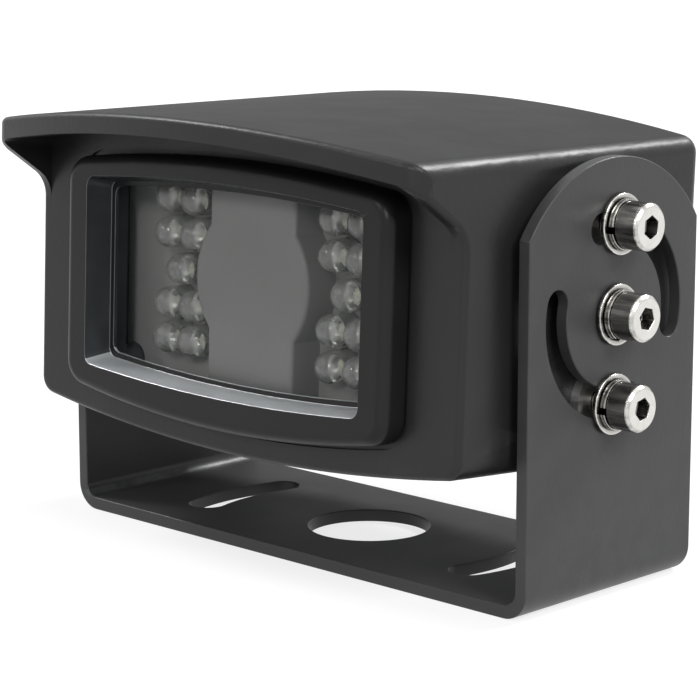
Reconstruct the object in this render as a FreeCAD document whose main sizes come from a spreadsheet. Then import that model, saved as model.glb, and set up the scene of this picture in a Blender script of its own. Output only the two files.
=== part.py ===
import FreeCAD, Part
import math
import os

import Sketcher

# White LED illuminator: a die-cast lamp head with a visor, tilting in a folded U bracket.
# Units are millimetres and degrees. +Z is up and the lamp looks along -Y.
# The origin is the middle of the cable hole, on the bracket's underside.
# Every piece of the lamp head is drawn in the head's own frame, whose origin is the middle
# of the pivot axis, and is then lifted and tilted into place. "Forward" is towards -Y.

V = FreeCAD.Vector

DRIVING_SIZES = (
    # Folded bracket
    ("bracket_width", 98.0, "bracket, outside of ear to outside of ear"),
    ("bracket_depth", 38.2, "bracket strip, front to rear"),
    ("sheet_thickness", 2.0, "bracket sheet"),
    ("bend_radius", 2.2, "inside radius of the two bends"),
    ("pivot_rise", 42.3, "pivot axis above the underside"),
    ("ear_round", 22.8, "radius of the ear's top about the pivot"),
    ("cable_hole", 19.5, "diameter of the hole in the bracket base"),
    ("base_slot_radius", 30.1, "base slots, centre line about the cable hole"),
    ("base_slot_width", 6.0, "base slots, width"),
    ("base_slot_reach", 16.5, "base slots, end centres either side of the cross line"),
    ("ear_slot_width", 4.5, "ear slots, width"),
    ("ear_slot_front", 15.0, "ear slots, end centre in front of upright"),
    ("ear_slot_rear", 102.0, "ear slots, end centre behind upright"),
    # Where the head stands in the bracket
    ("rest_tilt", 2.5, "head tilted front up in the photograph"),
    ("lock_radius", 13.1, "locking screws from the pivot screw"),
    # Cast shell
    ("ear_gap", 1.5, "between the shell's side and the ear"),
    ("rim_forward", 28.8, "front wall's face in front of the pivot"),
    ("rear_reach", 23.8, "shell's rear edge behind the pivot"),
    ("visor_forward", 43.0, "visor tip in front of the pivot"),
    ("visor_bow", 4.4, "visor tip's lead over its corners"),
    ("visor_corner", 4.0, "radius of the visor's two corners, seen from above"),
    ("corner_run_out", 12.0, "degrees between that radius and the shell's side, where they meet"),
    ("tip_crown", 26.0, "top of the arch at the visor tip"),
    ("tip_shoulder", 22.5, "top at the sides at the visor tip"),
    ("tip_belly", 24.8, "lowest point of the shell, carried forward to the tip"),
    ("tip_foot", 21.0, "bottom at the sides, carried forward to the tip"),
    ("rear_crown", 28.2, "top of the arch at the rear"),
    ("rear_shoulder", 24.4, "top at the sides at the rear"),
    ("rear_belly", 27.0, "lowest point at the rear"),
    ("rear_foot", 23.4, "bottom at the sides at the rear"),
    ("shell_corner", 2.8, "radius of the four long edges"),
    ("tail_round", 2.4, "radius round the rear rim"),
    ("front_edge_round", 1.0, "radius round the rim, up the cheeks and along the visor's tip"),
    ("cheek_top", 12.6, "height where the visor's cheek leaves the front wall"),
    ("cheek_slope", 33.0, "cheek edge, degrees above level"),
    ("cheek_blend", 5.0, "radius between cheek and front wall"),
    ("visor_wall", 2.1, "visor's side walls"),
    ("visor_lip", 3.0, "visor's roof at the tip"),
    ("shell_wall", 2.6, "shell's side and end walls"),
    ("front_wall", 5.0, "front wall, with the glass rebate in it"),
    ("cutter_reach", 8.0, "how far a cut runs past what it cuts"),
    ("root_overlap", 0.5, "how far a post or boss reaches into the wall it stands on"),
    ("hole_spare", 0.5, "blind hole deeper than its screw"),
    # Window
    ("window_half_width", 29.8, "front opening of the bezel, half width"),
    ("window_crown", 16.0, "front opening, half height in the middle"),
    ("window_shoulder", 14.6, "front opening, half height at the sides"),
    ("window_corner", 1.6, "front opening, corner radius"),
    ("bezel_half_width", 34.8, "bezel's outline, half width"),
    ("bezel_top_crown", 19.5, "bezel's outline, top in the middle"),
    ("bezel_top_shoulder", 17.2, "bezel's outline, top at the sides"),
    ("bezel_bottom_crown", 21.2, "bezel's outline, bottom in the middle"),
    ("bezel_bottom_shoulder", 17.9, "bezel's outline, bottom at the sides"),
    ("bezel_corner", 4.2, "bezel's outline, corner radius"),
    ("bezel_proud", 4.2, "bezel's face in front of the front wall"),
    ("bezel_edge_round", 1.8, "radius round the bezel's front edge"),
    ("bezel_seat", 0.5, "bezel let into the front wall"),
    ("bezel_groove", 0.7, "gap round the bezel where it is let in"),
    ("slope_depth", 4.6, "depth of the sloping wall round the window"),
    ("slope_inset", 0.8, "how far that wall slopes in"),
    ("lip_width", 0.8, "thin lip that holds the glass"),
    ("lip_thickness", 0.5, "thin lip that holds the glass"),
    ("glass_inset_out", 1.65, "glass edge outside the window's front opening"),
    ("glass_thickness", 1.5, "glass pane"),
    ("gasket_thickness", 0.6, "gasket behind the glass"),
    ("gasket_width", 1.05, "gasket frame, width"),
    ("fit_gap", 0.15, "gap round a piece let into the casting"),
    # Lamp
    ("led_diameter", 5.0, "lamp body"),
    ("led_rim", 0.2, "lamp flange, beyond the lamp body all round"),
    ("led_flange_height", 1.0, "lamp flange, thickness"),
    ("led_length", 8.6, "lamp, flange to tip"),
    ("lamp_column_gap", 0.3, "between the flanges of the two columns of a bank"),
    ("lamp_row_gap", 0.1, "between the flanges of the rows of a bank"),
    ("led_bank_offset", 17.9, "bank's middle from the head's middle"),
    ("led_rise", 0.8, "banks' middle above the pivot"),
    ("lamp_clear", 0.5, "lamp tips behind the glass"),
    ("board_gap", 0.3, "lamp board clear of the cover screw posts"),
    ("board_half_height", 18.4, "lamp board, half height"),
    ("board_corner", 2.0, "board corner radius"),
    ("board_thickness", 1.6, "printed board"),
    ("holder_thickness", 1.4, "grey plate round the lamps"),
    ("holder_margin", 1.2, "board's edge outside the plate's edge"),
    ("holder_standoff", 1.2, "plate in front of the board"),
    ("led_hole_gap", 0.2, "gap round a lamp in the plate"),
    ("foot_diameter", 2.6, "feet between plate and board"),
    ("foot_across", 27.0, "outer feet, from the middle"),
    ("foot_up", 10.5, "middle feet, from the middle"),
    ("cover_radius", 12.2, "round middle of the blank cover"),
    ("cover_neck", 9.2, "half width of the cover's neck"),
    ("cover_half_height", 16.4, "half height of the cover's neck"),
    ("cover_height", 6.0, "cover's face in front of the plate"),
    ("cover_wall", 1.2, "cover's wall"),
    ("cover_corner", 0.7, "radius round the cover's face"),
    ("post_inset", 2.9, "board posts, in from the board's edges"),
    ("post_diameter", 4.6, "board post"),
    ("board_screw", 2.5, "board screw thread"),
    ("board_screw_head", 4.6, "board screw head, diameter"),
    ("board_screw_head_height", 1.7, "board screw head, height"),
    ("board_screw_bite", 4.2, "board screw in its post"),
    # Driver
    ("driver_half_width", 27.0, "driver board, half width"),
    ("driver_half_height", 14.0, "driver board, half height"),
    ("spacer_length", 9.0, "between lamp board and driver board"),
    ("spacer_diameter", 5.0, "board spacer"),
    ("spacer_across", 22.5, "spacers, from the middle"),
    ("spacer_up", 10.5, "spacers, from the middle"),
    ("inductor_diameter", 12.0, "power inductor"),
    ("inductor_height", 6.5, "power inductor"),
    ("inductor_across", 9.0, "power inductor, from the middle"),
    ("capacitor_diameter", 8.0, "smoothing capacitor"),
    ("capacitor_height", 11.5, "smoothing capacitor"),
    ("capacitor_across", 8.0, "smoothing capacitor, from the middle"),
    ("header_width", 8.0, "supply header, width"),
    ("header_depth", 6.0, "supply header, depth"),
    ("header_height", 7.0, "supply header, height"),
    ("header_wall", 1.0, "supply header, wall"),
    ("header_down", 9.0, "supply header, below the middle"),
    # Rear cover
    ("rebate_wall", 1.9, "shell wall round the rear cover"),
    ("ledge_depth", 3.7, "cover ledge in front of the rear edge"),
    ("cover_gasket", 0.8, "gasket under the rear cover"),
    ("rear_cover_thickness", 2.5, "rear cover"),
    ("corner_post", 6.6, "cover screw posts, diameter"),
    ("corner_post_inset", 6.2, "cover screw posts, in from the shell's side"),
    ("corner_post_up", 17.0, "cover screw posts, from the middle"),
    ("cover_screw", 3.0, "cover screw thread"),
    ("cover_screw_head", 5.5, "cover screw head, diameter"),
    ("cover_screw_head_height", 1.8, "cover screw head, height"),
    ("cover_screw_bite", 7.0, "cover screw in its post"),
    ("screw_gap", 0.25, "gap round a screw in a plate"),
    ("thread_gap", 0.03, "gap round a screw in its thread"),
    # Cable gland
    ("gland_thread", 12.0, "gland thread"),
    ("gland_hex", 15.0, "gland, across the flats"),
    ("gland_flange", 4.0, "gland flange, length"),
    ("gland_inside", 6.5, "gland thread inside the rear cover"),
    ("gland_stub", 5.0, "gland thread under the cap"),
    ("gland_cap", 9.0, "gland cap, length"),
    ("gland_collar", 5.4, "gland cap, length of its straight part"),
    ("gland_cap_diameter", 14.6, "gland cap, diameter"),
    ("gland_cap_nose", 9.6, "gland cap, diameter at its end"),
    ("gland_bore", 6.4, "hole for the cable"),
    ("gland_nut", 3.0, "gland nut inside, thickness"),
    ("gland_seal_wall", 1.3, "rubber ring, wall"),
    # Side screws
    ("screw_thread", 4.0, "side screws, thread"),
    ("screw_head", 7.0, "side screws, head diameter"),
    ("screw_head_height", 4.0, "side screws, head height"),
    ("screw_chamfer", 0.5, "chamfer round the head"),
    ("socket_flats", 3.0, "hexagon socket, across the flats"),
    ("socket_depth", 2.2, "hexagon socket, depth"),
    ("screw_bite", 6.0, "side screws, length inside the shell"),
    ("side_boss", 9.0, "bosses inside the shell, diameter"),
    ("side_boss_length", 5.0, "bosses inside the shell, length"),
    ("washer_diameter", 9.0, "flat washer"),
    ("washer_thickness", 0.8, "flat washer"),
    ("washer_hole", 4.3, "hole in every side washer"),
    ("spring_washer_diameter", 7.6, "spring washer"),
    ("spring_washer_thickness", 1.0, "spring washer"),
    ("spring_washer_split", 0.8, "cut through the spring washer"),
    ("ear_spacer_diameter", 10.0, "spacer between ear and shell"),
    ("ear_play", 0.05, "play at each face of an ear"),
    ("pivot_gap", 0.05, "gap round the pivot screw in the ear"),
)

doc = FreeCAD.newDocument("WhiteLedIlluminator")


def fill_sheet():
    """Puts every driving size in the document's sheet, under its own alias."""
    sheet = doc.addObject("Spreadsheet::Sheet", "Sizes")
    for row, (alias, value, meaning) in enumerate(DRIVING_SIZES, start=1):
        sheet.set(f"A{row}", meaning)
        sheet.set(f"B{row}", str(value))
        sheet.setAlias(f"B{row}", alias)
    doc.recompute()
    return sheet


class Size:
    """A size that knows both its number and the formula that ties it to the sheet."""

    def __init__(self, number, formula):
        self.number = number
        self.formula = formula

    def __add__(self, other):
        other = as_size(other)
        return Size(self.number + other.number, f"({self.formula} + {other.formula})")

    def __sub__(self, other):
        other = as_size(other)
        return Size(self.number - other.number, f"({self.formula} - {other.formula})")

    def __mul__(self, other):
        other = as_size(other)
        return Size(self.number * other.number, f"({self.formula} * {other.formula})")

    def __truediv__(self, other):
        other = as_size(other)
        return Size(self.number / other.number, f"({self.formula} / {other.formula})")

    def __neg__(self):
        return Size(-self.number, f"(0 - {self.formula})")


def as_size(value):
    """A plain number becomes a Size, and a Size stays as it is."""
    if isinstance(value, Size):
        return value
    return Size(float(value), f"({float(value)})")


def root(size):
    return Size(math.sqrt(size.number), f"sqrt({size.formula})")


def cosine(size):
    return Size(math.cos(math.radians(size.number)), f"cos({size.formula})")


def sine(size):
    return Size(math.sin(math.radians(size.number)), f"sin({size.formula})")


class Sizes:
    """Reads one driving size by its alias, as in size.bracket_width."""

    def __init__(self, sheet):
        self.sheet = sheet

    def __getattr__(self, alias):
        return Size(float(self.sheet.get(alias)), f"Sizes.{alias}")


size = Sizes(fill_sheet())
ZERO = as_size(0)

# Sizes that follow from the driving ones

BRACKET_HALF = size.bracket_width / 2
EAR_INSIDE = BRACKET_HALF - size.sheet_thickness
SHELL_HALF = EAR_INSIDE - size.ear_gap
CAVITY_HALF = SHELL_HALF - size.shell_wall
CORNER_ACROSS = SHELL_HALF - size.corner_post_inset
BOARD_HALF = CORNER_ACROSS - size.corner_post / 2 - size.board_gap
POST_ACROSS = BOARD_HALF - size.post_inset
POST_UP = size.board_half_height - size.post_inset
FLANGE_WIDTH = size.led_diameter + size.led_rim * 2
COLUMN_PITCH = FLANGE_WIDTH + size.lamp_column_gap
ROW_PITCH = FLANGE_WIDTH + size.lamp_row_gap
WASHER_SEAT = BRACKET_HALF + size.ear_play
SPRING_SEAT = WASHER_SEAT + size.washer_thickness
HEAD_SEAT = SPRING_SEAT + size.spring_washer_thickness
SCREW_SPOTS = ((ZERO, ZERO), (ZERO, size.lock_radius), (ZERO, -size.lock_radius))

BEZEL_FACE = size.rim_forward + size.bezel_proud
LIP_FACE = BEZEL_FACE - size.slope_depth
GLASS_FACE = LIP_FACE - size.lip_thickness
GLASS_BACK = GLASS_FACE - size.glass_thickness
REBATE_FLOOR = GLASS_BACK - size.gasket_thickness
CAVITY_FRONT = size.rim_forward - size.front_wall

LAMP_TIP = GLASS_BACK - size.lamp_clear
BOARD_FACE = LAMP_TIP - size.led_length
BOARD_BACK = BOARD_FACE - size.board_thickness
HOLDER_BACK = BOARD_FACE + size.holder_standoff
HOLDER_FACE = HOLDER_BACK + size.holder_thickness
DRIVER_FACE = BOARD_BACK - size.spacer_length
DRIVER_BACK = DRIVER_FACE - size.board_thickness

LEDGE = -(size.rear_reach - size.ledge_depth)
COVER_FRONT = LEDGE - size.cover_gasket
COVER_REAR = COVER_FRONT - size.rear_cover_thickness
GLAND_FLANGE_REAR = COVER_REAR - size.gland_flange

LIFT = "placement(vector(0; 0; Sizes.pivot_rise); rotation(vector(1; 0; 0); 0 - Sizes.rest_tilt))"
PARTS = []


# Tools for bodies, sketches and features

def new_body(label, on_head=True, groups=False):
    """Starts one sub-part. Pieces of the lamp head are lifted and tilted with it."""
    body = doc.addObject("PartDesign::Body", label)
    body.AllowCompound = groups
    if on_head:
        body.setExpression("Placement", LIFT)
    PARTS.append(body)
    return body


def origin_plane(body, role):
    return [feature for feature in body.Origin.OriginFeatures if feature.Role == role][0]


class Outline:
    """One sketch: its curves, its constraints and the formulas that drive them."""

    def __init__(self, body, name, role, offset=ZERO):
        self.sketch = body.newObject("Sketcher::SketchObject", name)
        self.sketch.AttachmentSupport = [(origin_plane(body, role), "")]
        self.sketch.MapMode = "FlatFace"
        self.sketch.AttachmentOffset = FreeCAD.Placement(V(0, 0, offset.number), FreeCAD.Rotation())
        self.sketch.setExpression("AttachmentOffset.Base.z", offset.formula)
        self.curves = []
        self.rules = []
        self.formulas = {}

    def curve(self, shape):
        self.curves.append(shape)
        return len(self.curves) - 1

    def rule(self, kind, *where):
        self.rules.append(Sketcher.Constraint(kind, *where))

    def sized(self, kind, where, value):
        """Adds a constraint whose value follows the sheet."""
        value = as_size(value)
        self.formulas[len(self.rules)] = value.formula
        self.rules.append(Sketcher.Constraint(kind, *where, value.number))

    def pin(self, curve, point, x, y):
        self.sized("DistanceX", (-1, 1, curve, point), x)
        self.sized("DistanceY", (-1, 1, curve, point), y)

    def close(self):
        self.sketch.addGeometry(self.curves)
        self.sketch.addConstraint(self.rules)
        for index, formula in self.formulas.items():
            self.sketch.setExpression(f"Constraints[{index}]", formula)
        return self.sketch


def circle(outline, x, y, radius):
    x, y, radius = as_size(x), as_size(y), as_size(radius)
    ring = outline.curve(Part.Circle(V(x.number, y.number, 0), V(0, 0, 1), radius.number))
    outline.pin(ring, 3, x, y)
    outline.sized("Radius", (ring,), radius)


def polygon(outline, corners):
    """A closed run of straight lines, each corner pinned to its own sizes."""
    corners = [(as_size(x), as_size(y)) for x, y in corners]
    lines = []
    for (x1, y1), (x2, y2) in zip(corners, corners[1:] + corners[:1]):
        start = V(x1.number, y1.number, 0)
        end = V(x2.number, y2.number, 0)
        lines.append(outline.curve(Part.LineSegment(start, end)))
    for (x, y), before, after in zip(corners, lines[-1:] + lines[:-1], lines):
        outline.rule("Coincident", before, 2, after, 1)
        outline.pin(after, 1, x, y)


def hexagon(outline, x, y, flats):
    """A closed hexagon with two corners level with its middle."""
    reach = flats / math.sqrt(3)
    spots = [(cosine(as_size(60 * i)), sine(as_size(60 * i))) for i in range(6)]
    polygon(outline, [(x + reach * c, y + reach * s) for c, s in spots])


def box_with_corners(outline, half_width, half_height, corner):
    """A rectangle about the sketch's origin with rounded corners."""
    inner_x = half_width - corner
    inner_y = half_height - corner
    quarter = math.pi / 2
    centres = ((inner_x, inner_y), (-inner_x, inner_y), (-inner_x, -inner_y), (inner_x, -inner_y))
    arcs = []
    for turn, (x, y) in enumerate(centres):
        around = Part.Circle(V(x.number, y.number, 0), V(0, 0, 1), corner.number)
        arcs.append(outline.curve(Part.ArcOfCircle(around, turn * quarter, (turn + 1) * quarter)))
        outline.pin(arcs[-1], 3, x, y)
    sides = []
    for arc, following in zip(arcs, arcs[1:] + arcs[:1]):
        start = outline.curves[arc].EndPoint
        end = outline.curves[following].StartPoint
        sides.append(outline.curve(Part.LineSegment(start, end)))
        outline.rule("Tangent", arc, 2, sides[-1], 1)
        outline.rule("Tangent", sides[-1], 2, following, 1)
    outline.sized("Radius", (arcs[0],), corner)
    for arc in arcs[1:3]:
        outline.rule("Equal", arcs[0], arc)


def barrel(outline, half_width, top, bottom, corner):
    """Two upright sides between arched ends, all corners rounded.

    top and bottom are (shoulder, crown) heights, where the shoulder is the height at which
    the arch would meet the side if the corner were sharp.
    """
    inner = half_width - corner
    ends = []
    for sign, (shoulder, crown) in ((1, top), (-1, bottom)):
        rise = (crown - shoulder) * sign
        bend = (half_width * half_width + rise * rise) / (rise * 2)
        middle = crown - bend * sign
        reach = root((bend - corner) * (bend - corner) - inner * inner)
        ends.append((bend, middle, middle + reach * sign))
    (bend_top, middle_top, level_top), (bend_bottom, middle_bottom, level_bottom) = ends

    def arc(x, y, radius, start, end):
        around = Part.Circle(V(x, y, 0), V(0, 0, 1), radius)
        return outline.curve(Part.ArcOfCircle(around, start, end))

    w, r, i = half_width.number, corner.number, inner.number
    top_turn = math.atan2(level_top.number - middle_top.number, i)
    bottom_turn = math.atan2(middle_bottom.number - level_bottom.number, i)
    pi = math.pi
    right = outline.curve(Part.LineSegment(V(w, level_bottom.number, 0), V(w, level_top.number, 0)))
    chain = [
        right,
        arc(i, level_top.number, r, 0, top_turn),
        arc(0, middle_top.number, bend_top.number, top_turn, pi - top_turn),
        arc(-i, level_top.number, r, pi - top_turn, pi),
        outline.curve(Part.LineSegment(V(-w, level_top.number, 0), V(-w, level_bottom.number, 0))),
        arc(-i, level_bottom.number, r, pi, pi + bottom_turn),
        arc(0, middle_bottom.number, bend_bottom.number, pi + bottom_turn, 2 * pi - bottom_turn),
        arc(i, level_bottom.number, r, 2 * pi - bottom_turn, 2 * pi),
    ]
    for before, after in zip(chain, chain[1:] + chain[:1]):
        outline.rule("Tangent", before, 2, after, 1)
    outline.rule("Vertical", chain[0])
    outline.rule("Vertical", chain[4])
    outline.sized("DistanceX", (-1, 1, chain[0], 1), half_width)
    outline.sized("DistanceX", (-1, 1, chain[4], 1), -half_width)
    outline.pin(chain[2], 3, ZERO, middle_top)
    outline.pin(chain[6], 3, ZERO, middle_bottom)
    outline.sized("Radius", (chain[2],), bend_top)
    outline.sized("Radius", (chain[6],), bend_bottom)
    for corner_arc in (chain[1], chain[3], chain[5], chain[7]):
        outline.sized("Radius", (corner_arc,), corner)


def window(outline, outward):
    """The window's own barrel, grown outward by a size."""
    shoulder = size.window_shoulder + outward
    crown = size.window_crown + outward
    barrel(outline, size.window_half_width + outward, (shoulder, crown), (-shoulder, -crown),
           size.window_corner)


def arc_slot(outline, y, radius, width, start, end):
    """A slot along an arc about (0, y). start and end are its end centres, in degrees."""
    half = width / 2
    a0 = math.radians(start.number)
    a1 = math.radians(end.number)
    pi = math.pi
    centre = V(0, y.number, 0)

    def cap_centre(angle):
        return V(radius.number * math.cos(angle), y.number + radius.number * math.sin(angle), 0)

    def arc(middle, bend, first, last):
        return outline.curve(Part.ArcOfCircle(Part.Circle(middle, V(0, 0, 1), bend), first, last))

    inner = arc(centre, (radius - half).number, a0, a1)
    outer = arc(centre, (radius + half).number, a0, a1)
    last = arc(cap_centre(a1), half.number, a1, a1 + pi)
    first = arc(cap_centre(a0), half.number, a0 + pi, a0 + 2 * pi)
    outline.rule("Tangent", inner, 2, last, 2)
    outline.rule("Tangent", outer, 2, last, 1)
    outline.rule("Tangent", inner, 1, first, 1)
    outline.rule("Tangent", outer, 1, first, 2)
    outline.rule("Coincident", inner, 3, outer, 3)
    outline.pin(inner, 3, ZERO, y)
    outline.sized("Radius", (inner,), radius - half)
    outline.sized("Radius", (outer,), radius + half)
    for cap, turn in ((first, start), (last, end)):
        if abs(math.sin(math.radians(turn.number))) > math.sqrt(0.5):
            outline.sized("DistanceX", (-1, 1, cap, 3), radius * cosine(turn))
        else:
            outline.sized("DistanceY", (-1, 1, cap, 3), y + radius * sine(turn))


def settle(body, feature):
    body.Tip = feature
    doc.recompute()
    return feature


def pad(body, name, sketch, length, both=False):
    """Adds the sketch's area, along the sketch's normal or to both sides of its plane."""
    feature = body.newObject("PartDesign::Pad", name)
    feature.Profile = sketch
    feature.Length = length.number
    feature.setExpression("Length", length.formula)
    if both:
        feature.SideType = "Symmetric"
    return settle(body, feature)


def pocket(body, name, sketch, depth=None, both=False):
    """Cuts the sketch's area away, against its normal, and makes sure that it cut."""
    before = body.Shape.Volume
    feature = body.newObject("PartDesign::Pocket", name)
    feature.Profile = sketch
    if depth is None:
        feature.Type = "ThroughAll"
    else:
        feature.Length = depth.number
        feature.setExpression("Length", depth.formula)
    if both:
        feature.SideType = "Symmetric"
    settle(body, feature)
    if body.Shape.Volume >= before:
        raise RuntimeError(f"{name} of {body.Name} cuts nothing")
    return feature


def loft(body, kind, name, first, second):
    feature = body.newObject(f"PartDesign::{kind}Loft", name)
    feature.Profile = first
    feature.Sections = [second]
    feature.Ruled = True
    return settle(body, feature)


def revolve(body, name, sketch, axis="V_Axis"):
    feature = body.newObject("PartDesign::Revolution", name)
    feature.Profile = sketch
    feature.ReferenceAxis = (sketch, [axis])
    feature.Angle = 360
    return settle(body, feature)


def mirror_sides(body, name="OtherSide"):
    """Repeats the whole body on the other side of the head's middle plane."""
    feature = body.newObject("PartDesign::Mirrored", name)
    feature.TransformMode = "Whole shape"
    feature.MirrorPlane = (origin_plane(body, "YZ_Plane"), [""])
    return settle(body, feature)


def edges_where(body, test):
    """Names of the edges whose middle point and end points all pass a test."""
    names = []
    placement = body.Placement.inverse()
    for index, edge in enumerate(body.Shape.Edges, start=1):
        first, last = edge.ParameterRange
        spots = [edge.valueAt(first + (last - first) * share) for share in (0, 0.5, 1)]
        if all(test(placement.multVec(spot)) for spot in spots):
            names.append(f"Edge{index}")
    return names


def dress(body, kind, name, radius, test):
    """Fillets or chamfers every edge that passes the test."""
    names = edges_where(body, test)
    if not names:
        raise RuntimeError(f"{name} of {body.Name} finds no edge")
    base = body.Tip
    feature = body.newObject(f"PartDesign::{kind}", name)
    feature.Base = (base, names)
    if kind == "Fillet":
        feature.Radius = radius.number
        feature.setExpression("Radius", radius.formula)
    else:
        feature.Size = radius.number
        feature.setExpression("Size", radius.formula)
    return settle(body, feature)


def near(value, target, within=0.02):
    return abs(value - target.number) < within


# Folded bracket

def make_bracket():
    body = new_body("mounting_bracket", on_head=False)
    thickness = size.sheet_thickness
    ear_top = size.pivot_rise + size.ear_round
    strip = Outline(body, "StripSection", "XZ_Plane")
    polygon(strip, (
        (-BRACKET_HALF, ear_top), (-BRACKET_HALF, ZERO), (BRACKET_HALF, ZERO), (BRACKET_HALF, ear_top),
        (EAR_INSIDE, ear_top), (EAR_INSIDE, thickness), (-EAR_INSIDE, thickness), (-EAR_INSIDE, ear_top),
    ))
    pad(body, "Strip", strip.close(), size.bracket_depth, both=True)
    outer_bend = size.bend_radius + thickness
    dress(body, "Fillet", "OuterBends", outer_bend,
          lambda p: near(abs(p.x), BRACKET_HALF) and near(p.z, ZERO))
    dress(body, "Fillet", "InnerBends", size.bend_radius,
          lambda p: near(abs(p.x), EAR_INSIDE) and near(p.z, thickness))

    # Ear tops: everything outside the arc about the pivot goes.
    beyond = size.bracket_depth / 2 + size.root_overlap
    meet = root(size.ear_round * size.ear_round - beyond * beyond)
    tops = Outline(body, "EarTops", "YZ_Plane")
    start = math.atan2(meet.number, beyond.number)
    around = Part.Circle(V(0, size.pivot_rise.number, 0), V(0, 0, 1), size.ear_round.number)
    arc = tops.curve(Part.ArcOfCircle(around, start, math.pi - start))
    corners = ((-beyond, size.pivot_rise + meet), (-beyond, ear_top + size.cutter_reach),
               (beyond, ear_top + size.cutter_reach), (beyond, size.pivot_rise + meet))
    lines = []
    for (x1, y1), (x2, y2) in zip(corners, corners[1:]):
        lines.append(tops.curve(Part.LineSegment(V(x1.number, y1.number, 0), V(x2.number, y2.number, 0))))
    tops.rule("Coincident", arc, 2, lines[0], 1)
    tops.rule("Coincident", lines[0], 2, lines[1], 1)
    tops.rule("Coincident", lines[1], 2, lines[2], 1)
    tops.rule("Coincident", lines[2], 2, arc, 1)
    for line, (x, y) in zip(lines, corners):
        tops.pin(line, 1, x, y)
    tops.pin(lines[2], 2, *corners[3])
    tops.sized("Radius", (arc,), size.ear_round)
    pocket(body, "RoundTops", tops.close(), both=True)

    # Pivot holes, and the slots that the locking screws run in.
    holes = Outline(body, "EarHoles", "YZ_Plane")
    circle(holes, ZERO, size.pivot_rise, size.screw_thread / 2 + size.pivot_gap)
    upright = as_size(90)
    for half_turn in (as_size(0), as_size(180)):
        arc_slot(holes, size.pivot_rise, size.lock_radius, size.ear_slot_width,
                 upright - size.ear_slot_rear + half_turn, upright + size.ear_slot_front + half_turn)
    pocket(body, "EarSlots", holes.close(), both=True)

    # Cable hole and the two fixing slots in the base.
    base = Outline(body, "BaseHoles", "XY_Plane")
    circle(base, ZERO, ZERO, size.cable_hole / 2)
    for middle in (as_size(0), as_size(180)):
        arc_slot(base, ZERO, size.base_slot_radius, size.base_slot_width,
                 middle - size.base_slot_reach, middle + size.base_slot_reach)
    pocket(body, "BaseSlots", base.close(), both=True)


# Cast shell with its visor

def shell_section(body, name, offset, shoulder, crown, foot, belly):
    outline = Outline(body, name, "XZ_Plane", offset)
    barrel(outline, SHELL_HALF, (shoulder, crown), (-foot, -belly), size.shell_corner)
    return outline.close()


def inner_barrel(outline, wall, corner):
    """The casting's inside, a wall's thickness in from its slimmest outside."""
    barrel(outline, SHELL_HALF - wall, (size.tip_shoulder - wall, size.tip_crown - wall),
           (-(size.tip_foot - wall), -(size.tip_belly - wall)), corner)


def four_spots(across, up):
    return [(across * x, up * y) for x in (-1, 1) for y in (-1, 1)]


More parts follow.
